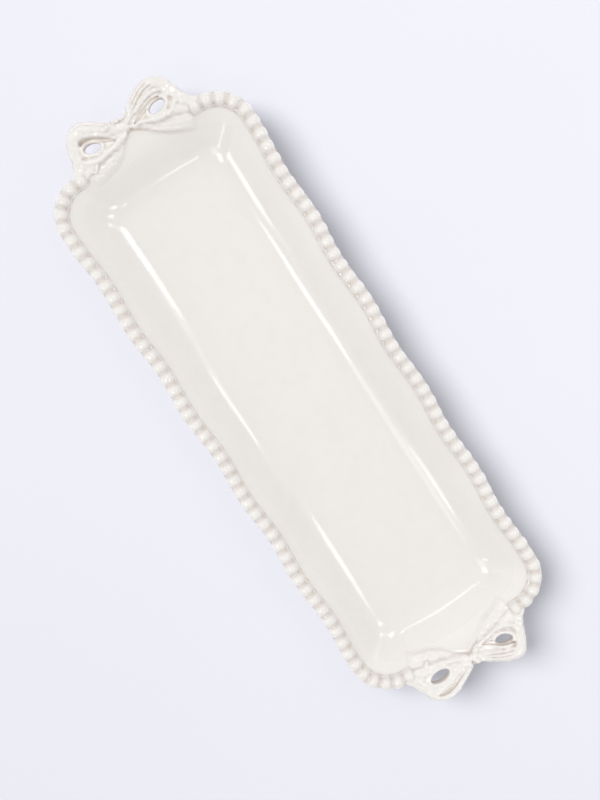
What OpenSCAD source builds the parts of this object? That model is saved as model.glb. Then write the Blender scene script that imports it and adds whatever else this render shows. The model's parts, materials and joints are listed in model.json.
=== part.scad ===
// Glazed stoneware asparagus plate: a long shallow dish with gently waved sides,
// a rim of pearl beads and an openwork ribbon bow at each end.
// The dish is pressed from one slab. The foot, the bead strips and the flat-backed
// pieces of the bows are made apart and luted on with slip before firing.
// Origin at the middle of the base, +Z up, +Y along the plate, millimetres.

/* [Rim] */
// Length of the bead line, end to end, without the bows
rim_len = 364; // [350:1:400]
// Width of the bead line, side to side, at the crests of the wave
rim_w = 128.4; // [120:0.2:140]
// Corner radius of the bead line
rim_corner_r = 22; // [18:0.5:26]
// How far the sides are drawn in between two crests of the wave
wave_depth = 1.8; // [0:0.1:3]
// Waves along each side
wave_count = 5; // [3:1:7]
// Length of the waved part of each side
wave_len = 306; // [280:1:310]
// How far each end bows outwards, across its whole width
end_crown = 7; // [4:0.5:8]
// How far the lip reaches out further under the knot
tongue_len = 4; // [2:0.5:5]
// Width of that tongue
tongue_w = 28; // [20:1:34]
// Height of the lip's flat top above the table
lip_h = 26; // [22:0.5:32]
// Thickness of the lip
lip_t = 5.5; // [4.5:0.1:7]
// Width of the lip's flat top inside the bead line
land_in = 4.5; // [4:0.1:6]
// Width of the lip outside the bead line
land_out = 4.1; // [3:0.1:4.6]
// Bevel on the lip's outer edges
lip_bevel = 1; // [0.5:0.1:1.5]

/* [Well] */
// Length of the flat floor
floor_len = 302; // [270:1:330]
// Width of the flat floor
floor_w = 58; // [48:0.5:68]
// Corner radius of the flat floor
floor_corner_r = 8; // [5:0.5:12]
// Thickness of the floor
floor_t = 5.5; // [4.5:0.1:7]
// Thickness of the wall
wall_t = 5; // [4:0.1:6]
// Radius of the curve between floor and wall, as a share of the run from lip to floor
well_fillet_share = 0.78; // [0.5:0.01:0.9]

/* [Foot] */
// Height of the foot ring
foot_h = 2.5; // [1.5:0.1:4]
// Width of the foot ring's base
foot_t = 5; // [4:0.1:8]
// Step from the edge of the flat underside in to the foot ring
foot_inset = 1.5; // [1:0.1:3]

/* [Beads] */
// Diameter of a bead
bead_d = 8.8; // [8.4:0.1:9.6]
// Spacing of the beads along the rim, before it is evened out
bead_pitch = 8.2; // [7.8:0.1:8.3]
// Height of a bead's centre above the lip
bead_rise = 1.5; // [1:0.1:2.5]
// Distance from the reach of the bow's loops to the middle of a strip's first bead
bead_gap = 1; // [0.5:0.5:3]

/* [Bow] */
// Distance from the end of the bead line out to the middle of a knot
knot_out = 12.5; // [10:0.5:14]
// Width of the knot, across the plate
knot_w = 9; // [8:0.5:10]
// Radius of the knot at its middle
knot_r = 5.5; // [5.3:0.1:6.5]
// Radius of the knot where it meets the loops
knot_side_r = 5; // [4.9:0.1:5.3]
// Reach of a loop from the knot's side
loop_len = 34; // [31:0.5:35]
// Reach of a loop outwards, past the middle of the knot
loop_rise = 15.5; // [14:0.5:17]
// Width of the loop's ribbon at its widest
loop_band = 12.2; // [11:0.2:13]
// Thickness of the loop's ribbon at its thickest
loop_t = 7.2; // [6:0.2:8]
// Gap of slip between a tail and the glazed wall under it
luting_gap = 0.25; // [0.2:0.05:0.5]
// Reach of a tail across the plate, from the knot's side
tail_len = 31.5; // [27:0.5:32]
// Reach of a tail into the dish, from the middle of the knot
tail_drop = 22; // [20:0.5:24]
// Width of a tail at its free end
tail_w = 8.6; // [7:0.2:9]
// Thickness of a tail
tail_t = 3; // [2.4:0.1:4]

/* [Hidden] */

glaze = "ivory";
bisque = "wheat";

// Extra length of every cut
overrun = 1;
// Least radius of an inside corner
least_r = 1;

// Facets along the outline of the dish: per wave, per corner and per end
wave_steps = 6;
corner_steps = 8;
end_steps = 22;
// Facets of the curve between floor and wall, inside and outside
fillet_steps = 5;
heel_steps = 4;

// Levels of the dish, worked out from the sizes above
floor_z = foot_h + floor_t;
// How far the flat floor lies inside the bead line, at the sides and at the ends
floor_inset = (rim_w - floor_w) / 2;
floor_end_inset = (rim_len - floor_len) / 2;
// Distance from the plate's centre to the middle of a knot
knot_y = rim_len / 2 + knot_out;
// Distance from the plate's middle line to a strip's first and last bead
bead_start = knot_w / 2 + loop_len + bead_gap;

// Slope of the wall: the line from the lip's inner edge that touches the fillet
wall_run = floor_inset - land_in;
wall_rise = lip_h - floor_z;
well_fillet_r = wall_run * well_fillet_share;
wall_slope = atan2(wall_rise - well_fillet_r, wall_run)
    + asin(well_fillet_r / norm([wall_run, wall_rise - well_fillet_r]));

// Point of the fillet at an angle from the floor, at a depth below the glazed face:
// [inset from the bead line, height]
function fillet_point(angle, depth) = [
    floor_inset - (well_fillet_r + depth) * sin(angle),
    floor_z + well_fillet_r - (well_fillet_r + depth) * cos(angle)
];

// Distance down the slope at which the outside of the wall meets the lip's underside
lip_drop = (lip_t - wall_t * cos(wall_slope)) / sin(wall_slope);
lip_root = land_in + lip_drop * cos(wall_slope) - wall_t * sin(wall_slope);

// Section of the dish outside, from the underside's edge up to the lip
outer_section = concat(
    [for (i = [0:heel_steps])
        let (share = i / heel_steps)
        fillet_point(wall_slope * share, floor_t + (wall_t - floor_t) * share)],
    [
        [lip_root, lip_h - lip_t],
        [lip_bevel - land_out, lip_h - lip_t],
        [-land_out, lip_h - lip_t + lip_bevel],
        [-land_out, lip_h - lip_bevel],
        [lip_bevel - land_out, lip_h]
    ]
);

// Section of the dish inside, from the lip down to the flat floor
inner_section = concat(
    [[land_in, lip_h]],
    [for (i = [fillet_steps:-1:0]) fillet_point(wall_slope * i / fillet_steps, 0)]
);

// How much of the rim's wave, crown and tongue is left at an inset: all at the bead
// line and outside it, none at the flat floor
function rim_share(inset) = let (s = min(1, max(0, inset / floor_inset))) (1 - s) * (1 - s);
// The tongue is only at the lip
lip_w = land_in + land_out;
function tongue_share(inset) = let (s = min(1, max(0, inset / lip_w))) (1 - s) * (1 - s);

// Half sizes and corner radius of the outline at an inset from the bead line
function half_w(inset) = rim_w / 2 - inset;
function half_len(inset) = rim_len / 2 - inset * (inset > 0 ? floor_end_inset / floor_inset : 1);
function corner_r(inset) = rim_corner_r - (rim_corner_r - floor_corner_r) * inset / floor_inset;

// A smooth hump: 1 in the middle, 0 at a distance and beyond it
function hump(x, reach) = abs(x) < reach ? pow(cos(90 * x / reach), 2) : 0;

// Edge of the outline at an inset: a place on a side at a share of its waved length,
// and an end's distance from the centre at a place across it
wave_reach_share = wave_len / (rim_len - 2 * rim_corner_r);
function side_x(inset, share) =
    half_w(inset) - wave_depth * rim_share(inset) * (1 - cos(360 * wave_count * share)) / 2;
function side_y(inset, share) =
    (half_len(inset) - corner_r(inset)) * wave_reach_share * (2 * share - 1);
function end_y(inset, x) =
    half_len(inset)
    + end_crown * rim_share(inset) * hump(x, rim_w / 2 - rim_corner_r)
    + tongue_len * tongue_share(inset) * hump(x, tongue_w / 2);

// Half of the way round: the east side going north, a corner, the north end, a corner
function half_round(inset) =
    let (
        w = half_w(inset), l = half_len(inset), r = corner_r(inset),
        n_side = wave_count * wave_steps
    )
    concat(
        [[w, r - l]],
        [for (i = [0:n_side]) [side_x(inset, i / n_side), side_y(inset, i / n_side)]],
        [for (i = [0:corner_steps - 1])
            let (a = 90 * i / corner_steps) [w - r + r * cos(a), l - r + r * sin(a)]],
        [for (i = [0:end_steps - 1])
            let (x = (w - r) * (1 - 2 * i / end_steps)) [x, end_y(inset, x)]],
        [for (i = [0:corner_steps - 1])
            let (a = 90 + 90 * i / corner_steps) [r - w + r * cos(a), l - r + r * sin(a)]]
    );

// The closed outline at an inset; the second half is the first one turned half round
function outline(inset) = let (half = half_round(inset)) concat(half, -half);

// A solid skinned over rings of points, each end closed by a fan about the ring's middle
function middle(ring) = [for (p = ring) 1] * ring / len(ring);
module skinned(rings) {
    sides = len(rings[0]);
    last = (len(rings) - 1) * sides;
    start_hub = last + sides;
    end_hub = start_hub + 1;
    polyhedron(
        concat([for (r = rings) each r], [middle(rings[0]), middle(rings[len(rings) - 1])]),
        [for (i = [0:sides - 1])
            let (j = (i + 1) % sides)
            each concat(
                [[start_hub, i, j], [end_hub, last + j, last + i]],
                [for (a = [0:sides:last - sides])
                    each [[a + i, a + sides + i, a + sides + j], [a + i, a + sides + j, a + j]]]
            )]
    );
}

module dish_body() {
    section = concat(outer_section, inner_section);
    rings = [for (p = section) [for (q = outline(p[0])) [q[0], q[1], p[1]]]];
    color(glaze)
        skinned(rings);
}

// A rectangle with round corners, centred
module rounded_plate(size_x, size_y, r, h) {
    linear_extrude(h) {
        square([size_x - 2 * r, size_y], center = true);
        square([size_x, size_y - 2 * r], center = true);
        for (x = [-1, 1], y = [-1, 1])
            translate([x * (size_x / 2 - r), y * (size_y / 2 - r)])
                circle(r, $fn = 64);
    }
}

module foot_ring() {
    foot_w = floor_w - 2 * foot_inset;
    foot_len = floor_len - 2 * foot_inset;
    outer_r = floor_corner_r - foot_inset;
    color(bisque)
        difference() {
            rounded_plate(foot_w, foot_len, outer_r, foot_h);
            translate([0, 0, -overrun])
                rounded_plate(
                    foot_w - 2 * foot_t, foot_len - 2 * foot_t,
                    max(outer_r - foot_t, least_r), foot_h + 2 * overrun
                );
        }
}

// The bead line of the east side, from the north bow round both corners to the south one
bead_line_steps = 4;
function bead_line() =
    let (
        w = half_w(0), l = half_len(0), r = corner_r(0),
        n_side = wave_count * wave_steps * bead_line_steps,
        n_corner = corner_steps * bead_line_steps,
        start = acos(max(0, bead_start - (w - r)) / r),
        north_end = concat(
            bead_start < w - r ? [[bead_start, end_y(0, bead_start)]] : [],
            [for (i = [0:n_corner])
                let (a = start * (1 - i / n_corner)) [w - r + r * cos(a), l - r + r * sin(a)]]
        )
    )
    concat(
        north_end,
        [for (i = [n_side:-1:0]) [side_x(0, i / n_side), side_y(0, i / n_side)]],
        [for (i = [len(north_end) - 1:-1:0]) [north_end[i][0], -north_end[i][1]]]
    );

// Lengths along a line of points, up to each of them
function lengths(points) = [
    for (i = 0, total = 0; i < len(points);
         total = total + (i + 1 < len(points) ? norm(points[i + 1] - points[i]) : 0), i = i + 1)
        total
];

// Places on a line of points, evenly spaced
function even_places(points, count) =
    let (
        along = lengths(points),
        xs = [for (i = [0:len(points) - 1]) [along[i], points[i][0]]],
        ys = [for (i = [0:len(points) - 1]) [along[i], points[i][1]]],
        pitch = along[len(along) - 1] / (count - 1)
    )
    [for (i = [0:count - 1]) [lookup(i * pitch, xs), lookup(i * pitch, ys)]];

function bead_places() =
    let (line = bead_line(), along = lengths(line))
    even_places(line, round(along[len(along) - 1] / bead_pitch) + 1);

// A strip of beads pressed in one piece, with a flat back
module bead_strip() {
    color(glaze)
        intersection() {
            union() {
                for (p = bead_places())
                    translate([p[0], p[1], lip_h + bead_rise])
                        sphere(d = bead_d, $fn = 32);
            }
            translate([0, -rim_len, lip_h])
                cube([rim_w, 2 * rim_len, bead_rise + bead_d]);
        }
}

// Places a flat-backed piece of a bow at the north end, or turned to the south end
module at_bow(turn) {
    rotate([0, 0, turn])
        translate([0, knot_y, lip_h])
            children();
}

// The knot: ribbon wrapped across the bow's middle, flat at the back
module knot() {
    color(glaze)
        intersection() {
            rotate([0, 90, 0])
                rotate_extrude($fn = 48)
                    polygon([
                        [0, -knot_w / 2],
                        [knot_side_r, -knot_w / 2],
                        [(knot_side_r + knot_r) / 2, -knot_w / 3],
                        [knot_r, -knot_w / 6],
                        [knot_r, knot_w / 6],
                        [(knot_side_r + knot_r) / 2, knot_w / 3],
                        [knot_side_r, knot_w / 2],
                        [0, knot_w / 2]
                    ]);
            translate([-knot_w, -2 * knot_r, 0])
                cube([2 * knot_w, 4 * knot_r, 2 * knot_r]);
        }
}

// Middle line of a loop's ribbon, out over the top and back, between its two roots at
// the knot. Shares of the loop's reach, its rise, the ribbon's width and its thickness.
loop_line_shares = [
    [0.235, 0.37, 0.78, 0.90],
    [0.45, 0.56, 0.88, 0.97],
    [0.62, 0.585, 1, 1],
    [0.785, 0.34, 0.88, 0.97],
    [0.868, -0.06, 0.70, 0.90],
    [0.75, -0.40, 0.53, 0.83],
    [0.50, -0.46, 0.45, 0.76],
    [0.235, -0.26, 0.49, 0.76]
];
// Width and thickness of a root, as shares of the knot's radius at its side
loop_root_w_share = 0.96;
loop_root_t_share = 0.85;
loop_line_steps = 3;
loop_arch_steps = 7;

// A smooth line through points: the value at a share of the way from one to the next
function through(points, i, t) =
    let (
        last = len(points) - 1,
        a = points[max(i - 1, 0)], b = points[i],
        c = points[min(i + 1, last)], d = points[min(i + 2, last)]
    )
    ((2 * b) + (c - a) * t + (2 * a - 5 * b + 4 * c - d) * t * t
        + (3 * b - a - 3 * c + d) * t * t * t) / 2;

// Points of a flat-backed ribbon section with a rounded top, across a middle line
ribbon_roundness = 0.6;
function ribbon_section(place, across, w, h) = [
    for (i = [0:loop_arch_steps])
        let (a = 180 * i / loop_arch_steps, side = -cos(a) * w / 2)
        [
            place[0] + across[0] * side, place[1] + across[1] * side,
            h * pow(sin(a), ribbon_roundness)
        ]
];

module loop() {
    function root(side) = [
        knot_w / 2, side * knot_side_r / 2,
        knot_side_r * loop_root_w_share, knot_side_r * loop_root_t_share
    ];
    sized = concat(
        [root(1)],
        [for (s = loop_line_shares)
            [knot_w / 2 + s[0] * loop_len, s[1] * loop_rise, s[2] * loop_band, s[3] * loop_t]],
        [root(-1)]
    );
    last = len(sized) - 1;
    line = concat(
        [for (i = [0:last - 1], k = [0:loop_line_steps - 1])
            through(sized, i, k / loop_line_steps)],
        [sized[last]]
    );
    n = len(line) - 1;
    rings = [for (i = [0:n])
        let (
            ahead = line[min(i + 1, n)] - line[max(i - 1, 0)],
            flat = i == 0 ? [1, 0] : i == n ? [-1, 0] : [ahead[0], ahead[1]],
            way = flat / norm(flat)
        )
        ribbon_section(line[i], [way[1], -way[0]], line[i][2], line[i][3])];
    color(glaze)
        skinned(rings);
}

// Inset at which the outline passes through a place at the north end, found by halving
function past_outline(inset, x, y) =
    let (r = corner_r(inset), cx = half_w(inset) - r, cy = half_len(inset) - r)
    abs(x) <= cx ? y - end_y(inset, x) : norm([abs(x) - cx, y - cy]) - r;
function inset_at(x, y, low = 0, high = floor_inset, tries = 16) =
    tries == 0 ? (low + high) / 2
    : let (mid = (low + high) / 2)
        past_outline(mid, x, y) > 0
            ? inset_at(x, y, low, mid, tries - 1)
            : inset_at(x, y, mid, high, tries - 1);
// Height of the glazed face there
function face_z(x, y) =
    lookup(inset_at(x, y), concat([[0, lip_h]], inner_section));

tail_steps = 12;
tail_across_steps = 8;
// Width of a tail's root as a share of its free end, and how much its edges are thinned
tail_root_share = 0.3;
tail_edge_share = 0.4;

// A tail of ribbon that lies over the lip and down the wall, with its back a slip's gap
// above the glazed face
module tail() {
    start = [knot_w / 2, -knot_r - tail_w * tail_root_share / 2];
    end = [knot_w / 2 + tail_len, -tail_drop];
    way = (end - start) / norm(end - start);
    across = [-way[1], way[0]];
    grid = [for (i = [0:tail_steps])
        let (
            share = i / tail_steps,
            w = tail_w * (tail_root_share + (1 - tail_root_share) * sqrt(share)),
            middle = start + (end - start) * share
        )
        [for (j = [0:tail_across_steps])
            middle + across * w * (j / tail_across_steps - 0.5)]];
    function back(p) = face_z(p[0], p[1] + knot_y) - lip_h + luting_gap;
    rings = [for (row = grid) concat(
        [for (p = row) [p[0], p[1], back(p)]],
        [for (j = [tail_across_steps:-1:0])
            let (p = row[j], side = 2 * j / tail_across_steps - 1)
            [p[0], p[1], back(p) + tail_t * (1 - (1 - tail_edge_share) * side * side)]]
    )];
    color(glaze)
        skinned(rings);
}

dish_body();
foot_ring();
bead_strip();  // bead_strip_east
rotate([0, 0, 180]) bead_strip();  // bead_strip_west
at_bow(0) knot();  // north_knot
at_bow(0) loop();  // north_loop_east
at_bow(0) mirror([1, 0, 0]) loop();  // north_loop_west
at_bow(0) tail();  // north_tail_east
at_bow(0) mirror([1, 0, 0]) tail();  // north_tail_west
at_bow(180) knot();  // south_knot
at_bow(180) mirror([1, 0, 0]) loop();  // south_loop_east
at_bow(180) loop();  // south_loop_west
at_bow(180) mirror([1, 0, 0]) tail();  // south_tail_east
at_bow(180) tail();  // south_tail_west
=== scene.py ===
"""Looks of a glazed stoneware asparagus plate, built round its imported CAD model.

The dish, its strips of pearl beads and its two ribbon bows stand in the CAD model's own
frame and follow its sizes, with the soft edges, folds and glaze that the solids leave out.
Sizes are in millimetres and are turned into metres where a mesh is made. North is the +Y
end of the plate, east is +X.
"""

import json
import logging
import math
from dataclasses import dataclass
from enum import Enum
from typing import Any, Sequence

import bpy
import numpy as np
from mathutils import Matrix, Vector

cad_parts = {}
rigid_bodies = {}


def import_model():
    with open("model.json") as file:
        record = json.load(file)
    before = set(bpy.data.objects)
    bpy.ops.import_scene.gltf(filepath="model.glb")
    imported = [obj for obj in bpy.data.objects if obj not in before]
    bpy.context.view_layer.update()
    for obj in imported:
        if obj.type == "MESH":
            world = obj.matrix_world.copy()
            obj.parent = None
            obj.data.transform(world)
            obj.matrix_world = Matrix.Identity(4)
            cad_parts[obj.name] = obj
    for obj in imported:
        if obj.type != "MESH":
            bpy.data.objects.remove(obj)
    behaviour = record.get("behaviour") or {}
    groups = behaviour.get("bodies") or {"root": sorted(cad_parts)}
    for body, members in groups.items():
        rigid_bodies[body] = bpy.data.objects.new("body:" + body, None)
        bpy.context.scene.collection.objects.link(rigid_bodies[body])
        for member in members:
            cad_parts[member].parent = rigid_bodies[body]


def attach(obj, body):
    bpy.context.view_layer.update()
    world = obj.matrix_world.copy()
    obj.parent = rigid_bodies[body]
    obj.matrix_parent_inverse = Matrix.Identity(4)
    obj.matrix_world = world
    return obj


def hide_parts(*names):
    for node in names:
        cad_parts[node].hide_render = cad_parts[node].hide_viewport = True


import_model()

LOG = logging.getLogger("asparagus_plate")
MM = 0.001
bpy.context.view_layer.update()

Colour = tuple[float, float, float]

TINY = 1e-9
# The middle of a noise's values, and the value of glaze pool and painted shade on even ground
EVEN = 0.5
# The Mix node's sockets for its share, its two colours and the mixed colour
MIX_SHARE, MIX_FIRST, MIX_SECOND, MIXED = 0, 6, 7, 2


class Slot(Enum):
    """The record's material slots."""

    IVORY_GLAZE = "ivory_glaze"
    BARE_CLAY = "bare_clay"


class End(Enum):
    """The two ends of the plate, by the sign of Y."""

    NORTH = 1
    SOUTH = -1


class Socket:
    """A node's output, on which Python's operators add Math nodes."""

    def __init__(self, bench: "Bench", link: bpy.types.NodeSocket) -> None:
        """Keeps the bench that the node stands on and its output."""
        self.bench = bench
        self.link = link

    def math(self, operation: str, *others: Any) -> "Socket":
        """Adds one Math node that works on this output first."""
        values = {i: v for i, v in enumerate((self, *others))}
        return self.bench.add("ShaderNodeMath", {"operation": operation}, values)

    def flipped(self, operation: str, other: Any) -> "Socket":
        """Adds one Math node that works on the other value first."""
        return self.bench.add("ShaderNodeMath", {"operation": operation}, {0: other, 1: self})

    def __add__(self, other: Any) -> "Socket":
        """Sum."""
        return self.math("ADD", other)

    def __radd__(self, other: Any) -> "Socket":
        """Sum, reflected."""
        return self.math("ADD", other)

    def __sub__(self, other: Any) -> "Socket":
        """Difference."""
        return self.math("SUBTRACT", other)

    def __rsub__(self, other: Any) -> "Socket":
        """Difference, reflected."""
        return self.flipped("SUBTRACT", other)

    def __mul__(self, other: Any) -> "Socket":
        """Product."""
        return self.math("MULTIPLY", other)

    def __truediv__(self, other: Any) -> "Socket":
        """Quotient."""
        return self.math("DIVIDE", other)

    def __pow__(self, other: Any) -> "Socket":
        """Power."""
        return self.math("POWER", other)

    def least(self, other: Any) -> "Socket":
        """The smaller of the two."""
        return self.math("MINIMUM", other)

    def most(self, other: Any) -> "Socket":
        """The larger of the two."""
        return self.math("MAXIMUM", other)

    def held(self) -> "Socket":
        """Keeps it between 0 and 1."""
        return self.most(0).least(1)


class Bench:
    """Adds nodes to a shader or geometry tree."""

    def __init__(self, tree: bpy.types.NodeTree) -> None:
        """Keeps the tree."""
        self.tree = tree

    def feed(self, target: bpy.types.NodeSocket, value: Any) -> None:
        """Links a socket to an output, or sets its own value.

        Args:
            target: The input socket.
            value: A Socket, or a number, colour, vector or data-block.
        """
        if isinstance(value, Socket):
            self.tree.links.new(value.link, target)
        elif isinstance(value, (tuple, list)) and target.type == "RGBA":
            target.default_value = (*value[:3], 1)
        else:
            target.default_value = value

    def add(
        self,
        kind: str,
        settings: dict[str, Any] | None = None,
        values: dict[int | str, Any] | None = None,
        output: int | str = 0,
    ) -> Socket | None:
        """Adds a node.

        Args:
            kind: The node's type.
            settings: Its own properties.
            values: Values or links of its inputs, by name or number.
            output: The output that is wanted.

        Returns:
            That output, or None for a node that has none.
        """
        node = self.tree.nodes.new(kind)
        for name, value in (settings or {}).items():
            setattr(node, name, value)
        for name, value in (values or {}).items():
            self.feed(node.inputs[name], value)
        return Socket(self, node.outputs[output]) if len(node.outputs) else None

    def mixed(self, share: Any, first: Any, second: Any) -> Socket:
        """Adds a colour mix of two colours by a share."""
        values = {MIX_SHARE: share, MIX_FIRST: first, MIX_SECOND: second}
        return self.add("ShaderNodeMix", {"data_type": "RGBA"}, values, MIXED)

    def noise(self, place: Socket, size: float, detail: float = 2.0) -> Socket:
        """Adds noise whose lumps are about size millimetres wide, centred on EVEN."""
        values = {"Vector": place, "Scale": 1 / (size * MM), "Detail": detail}
        return self.add("ShaderNodeTexNoise", {}, values)

    def bump(self, height: Socket, depth: float) -> Socket:
        """Adds a bump whose relief is about depth millimetres deep."""
        values = {"Strength": 1.0, "Distance": depth * MM, "Height": height}
        return self.add("ShaderNodeBump", {}, values)

    def dot(self, first: Any, second: Any) -> Socket:
        """Adds the dot product of two vectors."""
        settings = {"operation": "DOT_PRODUCT"}
        return self.add("ShaderNodeVectorMath", settings, {0: first, 1: second}, "Value")

    def upward(self, vector: Socket) -> Socket:
        """Adds a node that gives a vector's Z."""
        return self.add("ShaderNodeSeparateXYZ", {}, {0: vector}, "Z")


def new_material(name: str) -> tuple[bpy.types.Material, Bench, bpy.types.Node]:
    """Makes an empty material with a shader joined to its output.

    Args:
        name: The material's name.

    Returns:
        The material, a bench on its tree and its Principled shader.
    """
    made = bpy.data.materials.new(name)
    made.use_nodes = True
    made.node_tree.nodes.clear()
    bench = Bench(made.node_tree)
    shader = bench.add("ShaderNodeBsdfPrincipled")
    bench.add("ShaderNodeOutputMaterial", {}, {"Surface": shader})
    return made, bench, shader.link.node


@dataclass(frozen=True)
class Glaze:
    """A gloss glaze that pools in the hollows, where shade is painted too, is thin on the ridges and
    carries painted light on sloping faces.

    Sizes, depths, reaches and heights are in millimetres. A share says how much of a
    colour shows where it shows most, and a gain how far a pattern swings. A band of painted
    shade darkens the glaze round one given height, and above the height satin_z the gloss
    turns to satin; a height of 0 leaves either out.
    """

    name: str = "ivory_gloss_glaze"
    body: Colour = (0.828, 0.803, 0.763)
    drift: Colour = (0.795, 0.76, 0.72)
    pooled_and_shaded: Colour = (0.66, 0.58, 0.52)
    thin: Colour = (0.90, 0.88, 0.845)
    # Painted light: a lighter tint on sloping faces
    painted_slope_light: Colour = (0.895, 0.859, 0.826)
    drift_middle: float = 0.35
    drift_share: float = 0.35
    thin_share: float = 0.7
    slope_light_gain: float = 3.0
    pool_gain: float = 2.0
    cloud_size: float = 34.0
    cloud_drift: float = 1.6
    streak_size: float = 9.0
    streak_drift: float = 0.8
    streak_pool: float = 0.25
    streak_rough: float = 0.10
    speck_size: float = 1.3
    speck_thin: float = 0.3
    speck_rough: float = 0.05
    speck_peel: float = 0.06
    roughness: float = 0.16
    pooled_rough: float = 0.08
    peel_depth: float = 0.035
    peel_size: float = 5.5
    peel_gain: float = 0.75
    swell_size: float = 16.0
    lump_depth: float = 0.0
    lump_size: float = 2.6
    # Painted shade round one height: where, how far and how strong
    painted_shade_z: float = 0.0
    painted_shade_reach: float = 1.6
    painted_shade_gain: float = 0.3
    satin_z: float = 0.0
    satin_reach: float = 4.0
    satin_rough: float = 0.22
    coat: float = 0.55
    coat_roughness: float = 0.04
    ior: float = 1.5

    def make(self) -> bpy.types.Material:
        """Builds the material.

        Returns:
            The material. It reads Object coordinates and a point attribute that is EVEN on even
            ground, more in a hollow, where it stands for pooled glaze and painted shade, and less
            on a ridge.
        """
        made, bench, shader = new_material(self.name)
        place = bench.add("ShaderNodeTexCoord", output="Object")
        pool = bench.add("ShaderNodeAttribute", {"attribute_name": "pool"}, output="Fac")
        clouds = bench.noise(place, self.cloud_size, detail=3) - EVEN
        streaks = bench.noise(place, self.streak_size, detail=4) - EVEN
        specks = bench.noise(place, self.speck_size, detail=2) - EVEN
        height = bench.upward(place) / MM
        slope = 1 - bench.upward(bench.add("ShaderNodeNewGeometry", output="Normal"))
        drift = (clouds * self.cloud_drift + streaks * self.streak_drift + self.drift_middle).held()
        # Pooled glaze and painted shade darken the hollows
        pool_and_shade_share = (pool - EVEN) * self.pool_gain + streaks * self.streak_pool
        # A band of painted shade round one height
        if self.painted_shade_z:
            near = 1 - (height - self.painted_shade_z).math("ABSOLUTE") / self.painted_shade_reach
            pool_and_shade_share = pool_and_shade_share + near.most(0) * self.painted_shade_gain
        pool_and_shade_share = pool_and_shade_share.held()
        ridge = ((EVEN - pool) * self.pool_gain + specks * self.speck_thin).held()
        # Painted light: sloping faces take a lighter tint
        colour = bench.mixed((slope * self.slope_light_gain).least(1), self.body, self.painted_slope_light)
        colour = bench.mixed(drift * self.drift_share, colour, self.drift)
        colour = bench.mixed(pool_and_shade_share, colour, self.pooled_and_shaded)
        colour = bench.mixed(ridge * self.thin_share, colour, self.thin)
        rough = self.roughness + streaks * self.streak_rough + specks * self.speck_rough
        rough = rough + pool_and_shade_share * self.pooled_rough
        coat = bench.add("ShaderNodeValue")
        coat.link.default_value = self.coat
        if self.satin_z:
            satin = ((height - self.satin_z) / self.satin_reach).held()
            rough = rough + satin * self.satin_rough
            coat = coat * (1 - satin)
        peel = bench.noise(place, self.peel_size, detail=2) * self.peel_gain + specks * self.speck_peel
        peel = peel + bench.noise(place, self.swell_size, detail=1)
        if self.lump_depth:
            lumps = bench.noise(place, self.lump_size, detail=1)
            peel = peel + lumps * (self.lump_depth / self.peel_depth)
        for name, value in (
            ("Base Color", colour),
            ("Roughness", rough),
            ("Normal", bench.bump(peel, self.peel_depth)),
            ("Coat Weight", coat),
            ("Coat Roughness", self.coat_roughness),
            ("IOR", self.ior),
        ):
            bench.feed(shader.inputs[name], value)
        return made


@dataclass(frozen=True)
class BareClay:
    """The fired clay that the glaze leaves bare where the foot stands on the kiln shelf.

    Sizes, depths and heights are in millimetres. The glaze's lower edge stands at
    glaze_from, wanders up and down by half of glaze_wander and is glaze_edge wide.
    """

    name: str = "bare_fired_clay"
    body: Colour = (0.66, 0.56, 0.45)
    sand: Colour = (0.50, 0.40, 0.31)
    glaze: Colour = (0.82, 0.79, 0.75)
    glaze_from: float = 0.9
    glaze_wander: float = 1.1
    glaze_edge: float = 0.25
    glaze_cover: float = 0.9
    patch_size: float = 11.0
    patch_share: float = 0.35
    grain_size: float = 0.7
    grain_from: float = 0.45
    grain_gain: float = 3.0
    grain_depth: float = 0.12
    grain_rough: float = 0.1
    clay_roughness: float = 0.85
    glaze_roughness: float = 0.23

    def make(self) -> bpy.types.Material:
        """Builds the material.

        Returns:
            The material: bare on the face that the plate stands on, with the glaze's
            lower edge running unevenly round the ring a little above it.
        """
        made, bench, shader = new_material(self.name)
        place = bench.add("ShaderNodeTexCoord", output="Object")
        grains = bench.noise(place, self.grain_size, detail=4)
        patches = bench.noise(place, self.patch_size, detail=3)
        edge = bench.upward(place) / MM - self.glaze_from + (patches - EVEN) * self.glaze_wander
        glazed = (edge / self.glaze_edge).held()
        sandy = ((grains - self.grain_from) * self.grain_gain).held()
        clay = bench.mixed(sandy, self.body, self.sand)
        clay = bench.mixed(patches * self.patch_share, clay, self.body)
        smoother = glazed * (self.clay_roughness - self.glaze_roughness)
        rough = self.clay_roughness - smoother + (grains - EVEN) * self.grain_rough
        bench.feed(shader.inputs["Base Color"], bench.mixed(glazed, clay, self.glaze))
        bench.feed(shader.inputs["Roughness"], rough)
        relief = grains * (1 - glazed * self.glaze_cover)
        bench.feed(shader.inputs["Normal"], bench.bump(relief, self.grain_depth))
        return made


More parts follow.
